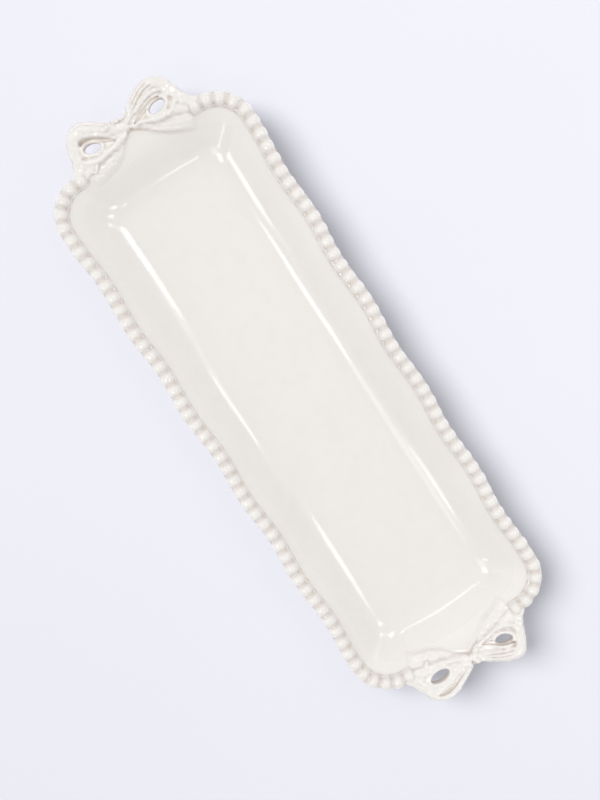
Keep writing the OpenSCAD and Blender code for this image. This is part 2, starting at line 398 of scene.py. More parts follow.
@dataclass(frozen=True)
class Tabletop:
    """The pale surface that the plate is shown on, with painted light that makes it a little paler towards
    one side.
    """

    name: str = "pale_tabletop"
    matt: Colour = (0.33, 0.33, 0.355)
    glow: Colour = (0.545, 0.545, 0.60)
    glow_share: float = 0.5
    roughness: float = 0.9
    # Painted light: the way in which the tabletop grows paler, and its two tints
    painted_light_way: tuple[float, float, float] = (1.9, -1.2, 0.0)
    tints: tuple[float, float] = (0.92, 1.08)
    cloud_size: float = 260.0
    cloud_gain: float = 0.25

    def make(self) -> bpy.types.Material:
        """Builds the material.

        Returns:
            The material: matt, and for the camera and in mirrors partly a flat glow, which
            keeps the ground pale where the plate shades it.
        """
        made, bench, shader = new_material(self.name)
        place = bench.add("ShaderNodeTexCoord", output="Object")
        clouds = bench.noise(place, self.cloud_size) - EVEN
        # Painted light: paler towards one side, in soft clouds
        share = (bench.dot(place, self.painted_light_way) + EVEN + clouds * self.cloud_gain).held()
        dull, pale = (tuple(tint * part for part in self.matt) for tint in self.tints)
        bench.feed(shader.inputs["Base Color"], bench.mixed(share, dull, pale))
        bench.feed(shader.inputs["Roughness"], self.roughness)
        bench.feed(shader.inputs["Specular IOR Level"], 0.0)
        rays = bench.add("ShaderNodeLightPath").link.node.outputs
        kinds = ("Is Camera Ray", "Is Glossy Ray", "Is Transmission Ray")
        camera, glossy, passing = (Socket(bench, rays[kind]) for kind in kinds)
        seen = (camera + glossy + passing).least(1)
        glow = bench.add("ShaderNodeEmission", {}, {"Color": self.glow})
        matt = Socket(bench, shader.outputs["BSDF"])
        values = {0: seen * self.glow_share, 1: matt, 2: glow}
        both = bench.add("ShaderNodeMixShader", {}, values)
        bench.feed(made.node_tree.get_output_node("ALL").inputs["Surface"], both)
        return made


def placed(name: str, data: bpy.types.ID) -> bpy.types.Object:
    """Makes an object and links it to the scene.

    Args:
        name: Its name.
        data: Its mesh, lamp or camera.

    Returns:
        The object, at the origin.
    """
    made = bpy.data.objects.new(name, data)
    bpy.context.scene.collection.objects.link(made)
    return made


@dataclass(frozen=True)
class Surface:
    """A mesh before it becomes a Blender object."""

    points: np.ndarray
    faces: np.ndarray
    # Glaze pool and painted shade at each point, EVEN on even ground
    pool: np.ndarray

    def as_object(self, name: str, material: bpy.types.Material) -> bpy.types.Object:
        """Makes a smooth-shaded object at the origin.

        Args:
            name: The piece's name.
            material: Its material.

        Returns:
            The object, linked to the scene. Its points are in metres.
        """
        mesh = bpy.data.meshes.new(name)
        mesh.from_pydata((self.points * MM).tolist(), [], self.faces.tolist())
        mesh.validate()
        pool = mesh.attributes.new("pool", "FLOAT", "POINT")
        pool.data.foreach_set("value", self.pool.astype(np.float32))
        mesh.polygons.foreach_set("use_smooth", np.ones(len(mesh.polygons), bool))
        mesh.materials.append(material)
        return placed(name, mesh)


def finish_piece(piece: bpy.types.Object, slot: Slot, *nodes: str) -> None:
    """Hands a piece to the frame.

    Args:
        piece: The finished object.
        slot: The record's slot; not used.
        nodes: The CAD nodes that it stands for.
    """
    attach(piece, "root")
    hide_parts(*nodes)
    LOG.info("%s: %d faces, for %s", piece.name, len(piece.data.polygons), ", ".join(nodes))


def through(rows: np.ndarray, steps: int) -> np.ndarray:
    """A smooth line through rows of numbers.

    Args:
        rows: One row for each knot of the line.
        steps: Samples from one row to the next.

    Returns:
        The samples, the last row included.
    """
    padded = np.concatenate([rows[:1], rows, rows[-1:]])
    a, b, c, d = padded[:-3], padded[1:-2], padded[2:-1], padded[3:]
    t = (np.arange(steps) / steps)[None, :, None]
    a, b, c, d = (part[:, None, :] for part in (a, b, c, d))
    curve = (
        2 * b + (c - a) * t + (2 * a - 5 * b + 4 * c - d) * t**2 + (3 * b - a - 3 * c + d) * t**3
    ) / 2
    return np.concatenate([curve.reshape(-1, rows.shape[1]), rows[-1:]])


def bell(x: np.ndarray, middle: Any, width: Any) -> np.ndarray:
    """A smooth bump, 1 in the middle and about a third of that a width away."""
    return np.exp(-(((x - middle) / width) ** 2))


def ramp(x: np.ndarray, start: float, end: float) -> np.ndarray:
    """An even rise from 0 at the start to 1 at the end, and level outside them."""
    return np.clip((x - start) / (end - start), 0, 1)


@dataclass(frozen=True)
class DishShape:
    """The form of the dish, with the sizes of the CAD source in millimetres."""

    rim_len: float = 364.0
    rim_w: float = 128.4
    rim_corner_r: float = 22.0
    wave_depth: float = 1.8
    wave_count: int = 5
    wave_len: float = 306.0
    end_crown: float = 7.0
    tongue_len: float = 4.0
    tongue_w: float = 28.0
    lip_h: float = 26.0
    lip_t: float = 5.5
    land_in: float = 4.5
    land_out: float = 4.1
    floor_len: float = 302.0
    floor_w: float = 58.0
    floor_corner_r: float = 8.0
    floor_t: float = 5.5
    wall_t: float = 5.0
    well_fillet_share: float = 0.78
    foot_h: float = 2.5
    lip_flat_in: float = 0.5
    lip_round: float = 8.5
    root_round: float = 4.0
    edge_low_round: float = 1.9
    edge_top_round: float = 2.5
    arc_steps: int = 16
    wall_steps: int = 5
    under_steps: int = 10

    @property
    def floor_z(self) -> float:
        """Height of the flat floor."""
        return self.foot_h + self.floor_t

    @property
    def floor_inset(self) -> float:
        """How far the flat floor lies inside the bead line, at the sides."""
        return (self.rim_w - self.floor_w) / 2

    @property
    def end_share(self) -> float:
        """Inset at the ends for each millimetre of inset at the sides."""
        return (self.rim_len - self.floor_len) / 2 / self.floor_inset

    @property
    def fillet_r(self) -> float:
        """Radius of the curve between floor and wall."""
        return (self.floor_inset - self.land_in) * self.well_fillet_share

    @property
    def wall_slope(self) -> float:
        """Slope of the wall, in radians."""
        run, rise = self.floor_inset - self.land_in, self.lip_h - self.floor_z - self.fillet_r
        return math.atan2(rise, run) + math.asin(self.fillet_r / math.hypot(run, rise))

    def half_w(self, inset: Any) -> Any:
        """Half width of the outline at an inset."""
        return self.rim_w / 2 - inset

    def half_len(self, inset: Any) -> Any:
        """Half length of the outline at an inset, without the crown."""
        return self.rim_len / 2 - inset * np.where(np.asarray(inset) > 0, self.end_share, 1.0)

    def corner_r(self, inset: Any) -> Any:
        """Corner radius of the outline at an inset."""
        return self.rim_corner_r - (self.rim_corner_r - self.floor_corner_r) * inset / self.floor_inset

    def rim_share(self, inset: Any) -> Any:
        """How much of the rim's wave and crown is left at an inset."""
        return (1 - np.clip(inset / self.floor_inset, 0, 1)) ** 2

    def tongue_share(self, inset: Any) -> Any:
        """How much of the tongue under the knot is left at an inset."""
        return (1 - np.clip(inset / (self.land_in + self.land_out), 0, 1)) ** 2

    @staticmethod
    def hump(x: Any, reach: float) -> Any:
        """A smooth hump, 1 in the middle and 0 from reach outwards."""
        return np.where(np.abs(x) < reach, np.cos(np.pi / 2 * x / reach) ** 2, 0.0)

    def side_x(self, inset: Any, share: Any) -> Any:
        """Distance of a side from the middle line at a share of its waved length."""
        wave = (1 - np.cos(2 * np.pi * self.wave_count * share)) / 2
        return self.half_w(inset) - self.wave_depth * self.rim_share(inset) * wave

    def side_y(self, inset: Any, share: Any) -> Any:
        """Place along the plate at a share of a side's waved length."""
        reach = self.wave_len / (self.rim_len - 2 * self.rim_corner_r)
        return (self.half_len(inset) - self.corner_r(inset)) * reach * (2 * share - 1)

    def end_y(self, inset: Any, x: Any) -> Any:
        """Distance of an end from the middle, with its crown and its tongue.

        Args:
            inset: Distance inside the bead line.
            x: Place across the end.

        Returns:
            The distance along the plate.
        """
        crown = self.end_crown * self.rim_share(inset) * self.hump(x, self.rim_w / 2 - self.rim_corner_r)
        tongue = self.tongue_len * self.tongue_share(inset) * self.hump(x, self.tongue_w / 2)
        return self.half_len(inset) + crown + tongue

    def outline(
        self, inset: float, wave_steps: int = 22, corner_steps: int = 22, end_steps: int = 84
    ) -> np.ndarray:
        """The closed outline at an inset, counter-clockwise from the south-east corner.

        Args:
            inset: Distance inside the bead line.
            wave_steps: Points for each wave.
            corner_steps: Points for each corner.
            end_steps: Points for each end.

        Returns:
            Points as rows of x and y.
        """
        w, l, r = self.half_w(inset), float(self.half_len(inset)), self.corner_r(inset)
        share = np.linspace(0, 1, self.wave_count * wave_steps + 1)
        turn = np.pi / 2 * np.arange(corner_steps) / corner_steps
        across = (w - r) * (1 - 2 * np.arange(end_steps) / end_steps)
        # A straight stretch lies between each corner of a long side and its first wave
        start = np.array([[w, (r - l) + (l - r + self.side_y(inset, 0.0)) * k] for k in (0, 0.5)])
        run_out = start[::-1] * np.array([1, -1])
        half = np.concatenate(
            [
                start,
                np.column_stack([self.side_x(inset, share), self.side_y(inset, share)]),
                run_out[:1],
                np.column_stack([w - r + r * np.cos(turn), l - r + r * np.sin(turn)]),
                np.column_stack([across, self.end_y(inset, across)]),
                np.column_stack([r - w - r * np.sin(turn), l - r + r * np.cos(turn)]),
            ]
        )
        return np.concatenate([half, -half])

    def fillet_point(self, angle: float, depth: float) -> tuple[float, float]:
        """Finds a point of the well's fillet, or of the outside under it.

        Args:
            angle: Slope of the face there, in radians.
            depth: Distance below the glazed face.

        Returns:
            The point's inset and height.
        """
        reach = self.fillet_r + depth
        back, up = reach * math.sin(angle), reach * math.cos(angle)
        return self.floor_inset - back, self.floor_z + self.fillet_r - up

    @staticmethod
    def rounded(corners: Sequence[tuple[float, float, float]], steps: int = 7) -> list[tuple[float, float]]:
        """A line with its corners rounded.

        Args:
            corners: Places as x, y and the corner's radius; the first and last stay.
            steps: Pieces of each round.

        Returns:
            The line's points.
        """
        line = [corners[0][:2]]
        for before, here, after in zip(corners, corners[1:], corners[2:]):
            middle = np.array(here[:2])
            one, two = np.array(before[:2]) - middle, np.array(after[:2]) - middle
            one, two = one / np.linalg.norm(one), two / np.linalg.norm(two)
            half = math.acos(np.clip(one @ two, -1, 1)) / 2
            reach, centre = here[2] / math.tan(half), (one + two) / np.linalg.norm(one + two)
            hub = middle + centre * here[2] / math.sin(half)
            first, last = middle + one * reach - hub, middle + two * reach - hub
            swing = math.acos(np.clip(first @ last / (here[2] ** 2), -1, 1))
            for k in range(steps + 1):
                a = swing * k / steps
                point = hub + (first * math.sin(swing - a) + last * math.sin(a)) / math.sin(swing)
                line.append((float(point[0]), float(point[1])))
        return [*line, corners[-1][:2]]

    def inner_section(self) -> np.ndarray:
        """Draws the glazed face.

        Returns:
            Rows of inset and height, from the lip's crown down to the flat floor.
        """
        slope, steps = self.wall_slope, self.arc_steps
        arc = [self.fillet_point(slope * (1 - k / steps), 0) for k in range(steps + 1)]
        crown = (self.lip_flat_in, self.lip_h, 0)
        lip = self.rounded([crown, (self.land_in, self.lip_h, self.lip_round), (*arc[0], 0)])
        wall = np.linspace(lip[-2], arc[0], self.wall_steps + 1)[1:-1]
        return np.array([*lip[:-1], *wall, *arc])

    def outer_section(self) -> np.ndarray:
        """Draws the outside.

        Returns:
            Rows of inset and height, from the flat underside up round the lip's edge.
        """
        slope, steps = self.wall_slope, self.under_steps
        thinner = self.wall_t - self.floor_t
        arc = [
            self.fillet_point(slope * k / steps, self.floor_t + thinner * k / steps)
            for k in range(steps + 1)
        ]
        drop = (self.lip_t - self.wall_t * math.cos(slope)) / math.sin(slope)
        root = self.land_in + drop * math.cos(slope) - self.wall_t * math.sin(slope)
        under, edge = self.lip_h - self.lip_t, -self.land_out
        corners = (
            (*arc[-1], 0),
            (root, under, self.root_round),
            (edge, under, self.edge_low_round),
            (edge, self.lip_h, self.edge_top_round),
            (0, self.lip_h, 0),
        )
        return np.array([*arc, *self.rounded(corners)[1:]])

    def inset_at(
        self, x: np.ndarray, y: np.ndarray, outwards: float = 14.0, halvings: int = 18
    ) -> np.ndarray:
        """Finds the inset of the outlines that pass through places near the north end.

        Args:
            x: The places across the plate.
            y: The places along it.
            outwards: How far outside the bead line to look.
            halvings: How often the range of insets is halved.

        Returns:
            The insets, one for each place.
        """
        low, high = np.full(x.shape, -outwards), np.full(x.shape, self.floor_inset)
        for _ in range(halvings):
            mid = (low + high) / 2
            r = self.corner_r(mid)
            cx, cy = self.half_w(mid) - r, self.half_len(mid) - r
            past = np.where(np.abs(x) <= cx, y - self.end_y(mid, x), np.hypot(np.abs(x) - cx, y - cy) - r)
            low, high = np.where(past > 0, low, mid), np.where(past > 0, mid, high)
        return (low + high) / 2

    def face_z(self, inset: np.ndarray) -> np.ndarray:
        """Height of the glazed face at an inset."""
        section = self.inner_section()
        return np.interp(inset, section[:, 0], section[:, 1])


@dataclass(frozen=True)
class GlazeAndPaintedLightBand:
    """A soft band along the rim that darkens the glaze, for pooled glaze and painted shade, or lightens it,
    for painted light: its inset, width and gain.
    """

    inset: float
    width: float
    gain: float


@dataclass
class Dish:
    """The dish: one pressed slab with a waved lip, a well and a flat floor.

    The rings that close its floor and underside shrink towards a line whose length is
    hub_share of the ring's. Its unevenness fades out over the last even_foot millimetres
    above the foot.
    """

    shape: DishShape
    glaze: bpy.types.Material
    floor_rings: int = 9
    hub_share: float = 0.22
    unevenness: float = 0.16
    even_foot: float = 3.5
    # Bands by inset: pooled glaze and painted shade at the beads' root, painted shade on the lip's outer
    # edge, and painted light over the lip's round below the beads
    bands: tuple[GlazeAndPaintedLightBand, ...] = (
        GlazeAndPaintedLightBand(5.2, 1.3, 0.10),
        GlazeAndPaintedLightBand(-4.1, 0.7, 0.16),
        GlazeAndPaintedLightBand(7.5, 4.2, -0.19),
    )

    def sway(self, points: np.ndarray) -> np.ndarray:
        """Gives the slow unevenness of a hand-pressed slab, as three crossed waves.

        Args:
            points: Places on the dish.

        Returns:
            How far each place lies above the even dish.
        """
        x, y = points[:, 0], points[:, 1]
        return self.unevenness * (
            np.sin(y / 23.0 + 0.6 * np.sin(x / 31.0)) * 0.5
            + np.sin(y / 41.0 - x / 37.0 + 1.3)
            + 0.5 * np.sin(x / 17.0 + y / 59.0 + 0.4)
        )

    def surface(self) -> Surface:
        """Lays the section round the outline.

        Returns:
            The dish's closed skin. Rings run up the outside, over the lip and down into
            the well; the underside and the floor are closed by rings that shrink inwards.
        """
        outer, inner = self.shape.outer_section(), self.shape.inner_section()
        section = np.concatenate([outer, inner[1:]])
        rings = []
        for inset, height in section:
            flat = self.shape.outline(float(inset))
            rings.append(np.column_stack([flat, np.full(len(flat), height)]))
        shrink = [k / self.floor_rings for k in range(self.floor_rings - 1, 0, -1)]
        scales = [np.array([k, self.hub_share + (1 - self.hub_share) * k, 1]) for k in shrink]
        under = [rings[0] * scale for scale in scales[::-1]]
        floor = [rings[-1] * scale for scale in scales]
        rings = [*under, *rings, *floor]
        sides, count = len(rings[0]), len(rings)
        foot_h = self.shape.foot_h
        points = np.concatenate([*rings, [[0, 0, foot_h], [0, 0, self.shape.floor_z]]])
        points[:, 2] += self.sway(points) * ramp(points[:, 2], foot_h, foot_h + self.even_foot)
        i = np.arange(sides)
        j = (i + 1) % sides
        hub, last = count * sides, (count - 1) * sides
        faces = [
            np.column_stack([a + i, a + j, a + sides + j, a + sides + i])
            for a in range(0, last, sides)
        ]
        caps = [[hub, int(b), int(a)] for a, b in zip(i, j)]
        caps += [[hub + 1, int(last + a), int(last + b)] for a, b in zip(i, j)]
        quads = np.concatenate(faces).tolist() + caps
        inset = np.full(len(points), self.shape.rim_w / 2)
        first = len(under) * sides
        inset[first : first + len(section) * sides] = np.repeat(section[:, 0], sides)
        # Pooled glaze, painted shade and painted light in bands by inset
        pool = EVEN + sum(band.gain * bell(inset, band.inset, band.width) for band in self.bands)
        return Surface(points, np.array(quads, dtype=object), pool)

    def build(self) -> None:
        """Makes the dish and hands it to the frame."""
        piece = self.surface().as_object("glazed_dish", self.glaze)
        finish_piece(piece, Slot.IVORY_GLAZE, "dish_body")


@dataclass
class FootRing:
    """The foot: a low ring with eased edges, bare where it stands.

    Its top is sunk into the dish, and its lower edges are eased more than its upper ones.
    """

    shape: DishShape
    clay: bpy.types.Material
    width: float = 5.0
    inset: float = 1.5
    ease: float = 0.7
    top_ease: float = 0.14
    ease_steps: int = 4
    sunk: float = 0.3
    seam: float = 0.01
    least_corner_r: float = 1.0
    corner_steps: int = 14

    def surface(self) -> Surface:
        """Lays the ring's rounded section round its outline.

        Returns:
            The ring's closed skin.
        """
        middle, top = self.width / 2, self.shape.foot_h + self.sunk
        corners = (
            (middle, 0, 0),
            (0, 0, self.ease),
            (0, top, self.top_ease),
            (self.width, top, self.top_ease),
            (self.width, 0, self.ease),
            (middle + self.seam, 0, 0),
        )
        rings = []
        for inset, height in DishShape.rounded(corners, self.ease_steps)[1:-1]:
            w = self.shape.floor_w / 2 - self.inset - inset
            l = self.shape.floor_len / 2 - self.inset - inset
            r = max(self.shape.floor_corner_r - self.inset - inset, self.least_corner_r)
            ring = []
            for quarter, (sx, sy) in enumerate(((1, 1), (-1, 1), (-1, -1), (1, -1))):
                for k in range(self.corner_steps + 1):
                    a = math.pi / 2 * (quarter + k / self.corner_steps)
                    ring.append((sx * (w - r) + r * math.cos(a), sy * (l - r) + r * math.sin(a), height))
            rings.append(np.array(ring))
        sides, count = len(rings[0]), len(rings)
        i = np.arange(sides)
        j = (i + 1) % sides
        faces = [
            np.column_stack([a * sides + i, b * sides + i, b * sides + j, a * sides + j])
            for a, b in zip(range(count), [*range(1, count), 0])
        ]
        points = np.concatenate(rings)
        return Surface(points, np.concatenate(faces), np.full(len(points), EVEN))

    def build(self) -> None:
        """Makes the ring and hands it to the frame."""
        piece = self.surface().as_object("foot", self.clay)
        finish_piece(piece, Slot.BARE_CLAY, "foot_ring")


@dataclass
class BeadStrip:
    """A strip of pearl beads that runs round one side of the rim, pressed in one piece.

    A low band joins the beads. The valleys between them are cut away by a share of the
    bead's section, and a higher sharpness makes them narrower. The last bead rounds off
    within end_round of its own length.
    """

    shape: DishShape
    glaze: bpy.types.Material
    side: int
    bead_d: float = 8.8
    pitch: float = 8.2
    rise: float = 1.5
    start: float = 39.5
    valley: float = 0.52
    valley_sharpness: float = 1.8
    across: float = 0.96
    shift_in: float = 0.2
    band_in: float = 0.6
    band_w: float = 8.6
    band_h: float = 1.7
    end_round: float = 0.3
    end_least: float = 0.002
    # Thinner glaze on the bead crowns; pooled glaze and painted shade in the valleys between them
    crown_pool: float = 0.42
    valley_pool_and_shade: float = 0.36
    steps_per_bead: int = 14
    section_steps: int = 26
    end_steps: int = 12
    corner_steps: int = 40
    side_steps: int = 240
    unevenness: float = 0.05
    east_seed: int = 11
    west_seed: int = 23

    def line(self) -> tuple[np.ndarray, int]:
        """The east side's bead line.

        Returns:
            Points from half a bead before the first bead, at the north bow, to half a
            bead past the last one, and the number of beads.
        """
        shape = self.shape
        w, l, r = shape.half_w(0), float(shape.half_len(0)), shape.corner_r(0)
        across = np.linspace(self.start, w - r, self.end_steps)[:-1]
        turn = np.linspace(math.pi / 2, 0, self.corner_steps)
        north = np.concatenate(
            [
                np.column_stack([across, shape.end_y(0, across)]),
                np.column_stack([w - r + r * np.cos(turn), l - r + r * np.sin(turn)]),
            ]
        )
        share = np.linspace(1, 0, self.side_steps)
        side = np.column_stack([shape.side_x(0, share), shape.side_y(0, share)])
        points = np.concatenate([north, side, north[::-1] * np.array([1, -1])])
        length = np.linalg.norm(np.diff(points, axis=0), axis=1).sum()
        beads = round(length / self.pitch) + 1
        over = length / (beads - 1) / 2
        first, last = points[0] - points[1], points[-1] - points[-2]
        head = points[0] + first / np.linalg.norm(first) * over
        foot = points[-1] + last / np.linalg.norm(last) * over
        return np.concatenate([[head], points, [foot]]), beads

    def swept(
        self, curve: Socket, radius: Any, shift: dict[str, Any], stretch: dict[str, Any], size: Socket
    ) -> Socket:
        """Adds the nodes that sweep an oval along the line.

        Args:
            curve: The line.
            radius: The oval's radius before it is stretched.
            shift: Its shift across, X, and downwards, Y.
            stretch: Its stretch across, X, and upwards, Y.
            size: Its scale at each of the line's points.

        Returns:
            The swept mesh.
        """
        bench = curve.bench
        values = {"Resolution": self.section_steps, "Radius": radius}
        circle = bench.add("GeometryNodeCurvePrimitiveCircle", {"mode": "RADIUS"}, values)
        values = {
            "Geometry": circle,
            "Translation": bench.add("ShaderNodeCombineXYZ", {}, shift),
            "Scale": bench.add("ShaderNodeCombineXYZ", {}, {**stretch, "Z": 1.0}),
        }
        oval = bench.add("GeometryNodeTransform", {}, values)
        values = {"Curve": curve, "Profile Curve": oval, "Scale": size, "Fill Caps": True}
        return bench.add("GeometryNodeCurveToMesh", {}, values)

    def tree(self) -> bpy.types.NodeTree:
        """The geometry nodes that press the beads out of the line.

        Returns:
            A tree with named inputs. The section's size swells and falls once for each
            bead, a little differently each time, and closes at both ends.
        """
        tree = bpy.data.node_groups.new("pearl_bead_strip", "GeometryNodeTree")
        face = tree.interface
        face.new_socket("Geometry", in_out="INPUT", socket_type="NodeSocketGeometry")
        for name, kind in (
            ("Beads", "NodeSocketInt"),
            ("Steps per Bead", "NodeSocketInt"),
            ("Bead Radius", "NodeSocketFloat"),
            ("Rise", "NodeSocketFloat"),
            ("Valley Depth", "NodeSocketFloat"),
            ("Width Share", "NodeSocketFloat"),
            ("Inward Shift", "NodeSocketFloat"),
            ("Band Shift", "NodeSocketFloat"),
            ("Band Width", "NodeSocketFloat"),
            ("Band Height", "NodeSocketFloat"),
            ("Unevenness", "NodeSocketFloat"),
            ("Seed", "NodeSocketInt"),
            ("Finish", "NodeSocketMaterial"),
        ):
            face.new_socket(name, in_out="INPUT", socket_type=kind)
        face.new_socket("Geometry", in_out="OUTPUT", socket_type="NodeSocketGeometry")
        bench = Bench(tree)
        entry = tree.nodes.new("NodeGroupInput")
        given = {socket.name: Socket(bench, socket) for socket in entry.outputs if socket.name}
        curve = bench.add("GeometryNodeMeshToCurve", {}, {"Mesh": given["Geometry"]})
        count = given["Beads"] * given["Steps per Bead"] + 1
        curve = bench.add("GeometryNodeResampleCurve", {}, {"Curve": curve, "Count": count})
        phase = bench.add("GeometryNodeSplineParameter", output="Factor") * given["Beads"]
        bead = phase.math("FLOOR")
        fall = (((phase - bead) * (2 * math.pi)).math("COSINE") + 1) * 0.5
        fall = fall**self.valley_sharpness
        chance = bench.add(
            "FunctionNodeRandomValue",
            {"data_type": "FLOAT"},
            {"Min": -1.0, "Max": 1.0, "ID": bead, "Seed": given["Seed"]},
            "Value",
        )
        tip = (phase.least(given["Beads"] - phase) / self.end_round).least(1)
        closed = (1 - (1 - tip) ** 2 + self.end_least).math("SQRT")
        uneven = 1 + chance * given["Unevenness"] * (1 - fall)
        size = (1 - fall * given["Valley Depth"]).math("SQRT") * uneven * closed
        # Thinner glaze on the crowns, pooled glaze and painted shade in the valleys
        pool = self.crown_pool + fall * self.valley_pool_and_shade
        curve = bench.add(
            "GeometryNodeStoreNamedAttribute",
            {"data_type": "FLOAT", "domain": "POINT"},
            {"Geometry": curve, "Name": "pool", "Value": pool},
        )
        curve = bench.add("GeometryNodeSetCurveNormal", {"mode": "Z_UP"}, {"Curve": curve})
        shift = {"X": given["Inward Shift"], "Y": given["Rise"] * -1}
        stretch = {"X": given["Width Share"], "Y": 1.0}
        beads = self.swept(curve, given["Bead Radius"], shift, stretch, size)
        shift = {"X": given["Band Shift"]}
        stretch = {"X": given["Band Width"] * 0.5, "Y": given["Band Height"]}
        band = self.swept(curve, 1.0, shift, stretch, closed)
        both = tree.nodes.new("GeometryNodeJoinGeometry")
        for part in (beads, band):
            tree.links.new(part.link, both.inputs[0])
        body = Socket(bench, both.outputs[0])
        body = bench.add("GeometryNodeSetShadeSmooth", {}, {"Geometry": body})
        body = bench.add("GeometryNodeRealizeInstances", {}, {"Geometry": body})
        values = {"Geometry": body, "Material": given["Finish"]}
        body = bench.add("GeometryNodeSetMaterial", {}, values)
        bench.add("NodeGroupOutput", {}, {"Geometry": body})
        return tree

    def build(self) -> None:
        """Makes the strip and hands it to the frame."""
        east = self.side > 0
        name = "bead_strip_east" if east else "bead_strip_west"
        flat, beads = self.line()
        flat = flat * self.side
        points = np.column_stack([flat, np.full(len(flat), self.shape.lip_h)]) * MM
        mesh = bpy.data.meshes.new(name + "_line")
        mesh.from_pydata(points.tolist(), [(k, k + 1) for k in range(len(points) - 1)], [])
        source = placed(name + "_line", mesh)
        modifier = source.modifiers.new("beads", "NODES")
        modifier.node_group = self.tree()
        sizes = {
            "Beads": beads,
            "Steps per Bead": self.steps_per_bead,
            "Bead Radius": self.bead_d / 2 * MM,
            "Rise": self.rise * MM,
            "Valley Depth": self.valley,
            "Width Share": self.across,
            "Inward Shift": self.shift_in * MM,
            "Band Shift": self.band_in * MM,
            "Band Width": self.band_w * MM,
            "Band Height": self.band_h * MM,
            "Unevenness": self.unevenness,
            "Seed": self.east_seed if east else self.west_seed,
            "Finish": self.glaze,
        }
        for item in modifier.node_group.interface.items_tree:
            if item.in_out == "INPUT" and item.name in sizes:
                modifier[item.identifier] = sizes[item.name]
        source.update_tag()
        seen = source.evaluated_get(bpy.context.evaluated_depsgraph_get())
        made = bpy.data.meshes.new_from_object(seen)
        bpy.data.objects.remove(source)
        piece = placed("pearls_east" if east else "pearls_west", made)
        finish_piece(piece, Slot.IVORY_GLAZE, name)


@dataclass(frozen=True)
class Fold:
    """A crease or a ridge that runs along a ribbon.

    Its place across the ribbon and its width are in half widths of the ribbon, its start,
    end and fade are shares of the ribbon's length, and its depth is in millimetres.
    """

    across: float
    width: float
    depth: float
    start: float = 0.0
    end: float = 1.0
    fade: float = 0.12

    def depth_at(self, along: np.ndarray, across: np.ndarray) -> np.ndarray:
        """Gives its depth over the ribbon.

        Args:
            along: Places along the ribbon, from 0 to 1.
            across: Places across it, in half widths.

        Returns:
            The depth at each place.
        """
        window = ramp(along, self.start, self.start + self.fade)
        window = window * ramp(along, self.end, self.end - self.fade)
        return self.depth * bell(across, self.across, self.width) * window


@dataclass(frozen=True)
class Ribbon:
    """A length of clay ribbon: rows of x, y, half width and height, and its folds.

    A fuller one has a squarer section. Where it lies over the wall it follows the dish and
    is rooted a little in it. A square end is cut straight, a little past the last row.
    Its foot shade is how much painted shade, with some pooled glaze, lies along its foot, most near the
    knot.
    """

    rows: tuple[tuple[float, float, float, float], ...]
    folds: tuple[Fold, ...] = ()
    fullness: float = 2.4
    square_end: bool = False
    over_wall: bool = False
    # Painted shade along its foot, with some pooled glaze: its strength, width and fade
    foot_shade: float = 0.0
    foot_shade_w: float = 0.8
    foot_shade_fade: tuple[float, float] = (1.3, 0.3)
    rooted: float = 1.2
    end_past: float = 0.4
    end_ease: float = 2.6
    steps: int = 14


@dataclass(frozen=True)
class Pinch:
    """A small gathered lump of ribbon: its place, its half sizes and its turn in degrees."""

    place: tuple[float, float, float]
    reach: tuple[float, float, float]
    turn: float = 0.0


def in_oval(
    x: np.ndarray, y: np.ndarray, place: Sequence[float], reach: Sequence[float], turn: float
) -> tuple[np.ndarray, np.ndarray]:
    """Turns places into a turned oval's own axes.

    Args:
        x: The places across the bow.
        y: The places outwards.
        place: The oval's middle.
        reach: Its half sizes.
        turn: Its turn in degrees.

    Returns:
        The places along its two axes, in its half sizes.
    """
    a = math.radians(turn)
    dx, dy = x - place[0], y - place[1]
    u = (dx * math.cos(a) + dy * math.sin(a)) / reach[0]
    v = (dy * math.cos(a) - dx * math.sin(a)) / reach[1]
    return u, v


@dataclass(frozen=True)
class Pad:
    """A flat piece of clay with an eased edge: its outline, its height and that ease."""

    outline: tuple[tuple[float, float], ...]
    height: float = 3.2
    ease: float = 2.4
    steps: int = 6


@dataclass(frozen=True)
class Hole:
    """An oval pierced through a loop: its place, its half sizes and its turn in degrees.

    A rounded ring of clay runs round it, with half its width and the height of its crown.
    The hole widens by flare for each millimetre from flare_z upwards.
    """

    place: tuple[float, float]
    reach: tuple[float, float]
    turn: float = 0.0
    ring: float = 1.3
    crown: float = 4.7
    flare: float = 0.12
    flare_z: float = 1.0
    flare_h: float = 4.0
    least: float = 0.05

    def outside(self, x: np.ndarray, y: np.ndarray) -> np.ndarray:
        """Distance from the oval.

        Args:
            x: Places across the bow.
            y: Places outwards.

        Returns:
            The distance of each place, less than 0 inside the oval.
        """
        u, v = in_oval(x, y, self.place, self.reach, self.turn)
        size = np.hypot(u, v)
        slope = np.hypot(u / self.reach[0], v / self.reach[1]) / np.maximum(size, self.least)
        return (size - 1) / np.maximum(slope, self.least)


@dataclass(frozen=True)
class Slit:
    """A groove between two bands: rows of x, y and half width, and its floor's height."""

    rows: tuple[tuple[float, float, float], ...]
    floor: float = 1.3
    steps: int = 14


@dataclass(frozen=True)
class BowPattern:
    """What one bow is pressed from, in its own millimetres: x across, y outwards, z up."""

    pads: tuple[Pad, ...]
    ribbons: tuple[Ribbon, ...]
    pinches: tuple[Pinch, ...]
    slits: tuple[Slit, ...]
    holes: tuple[Hole, ...]


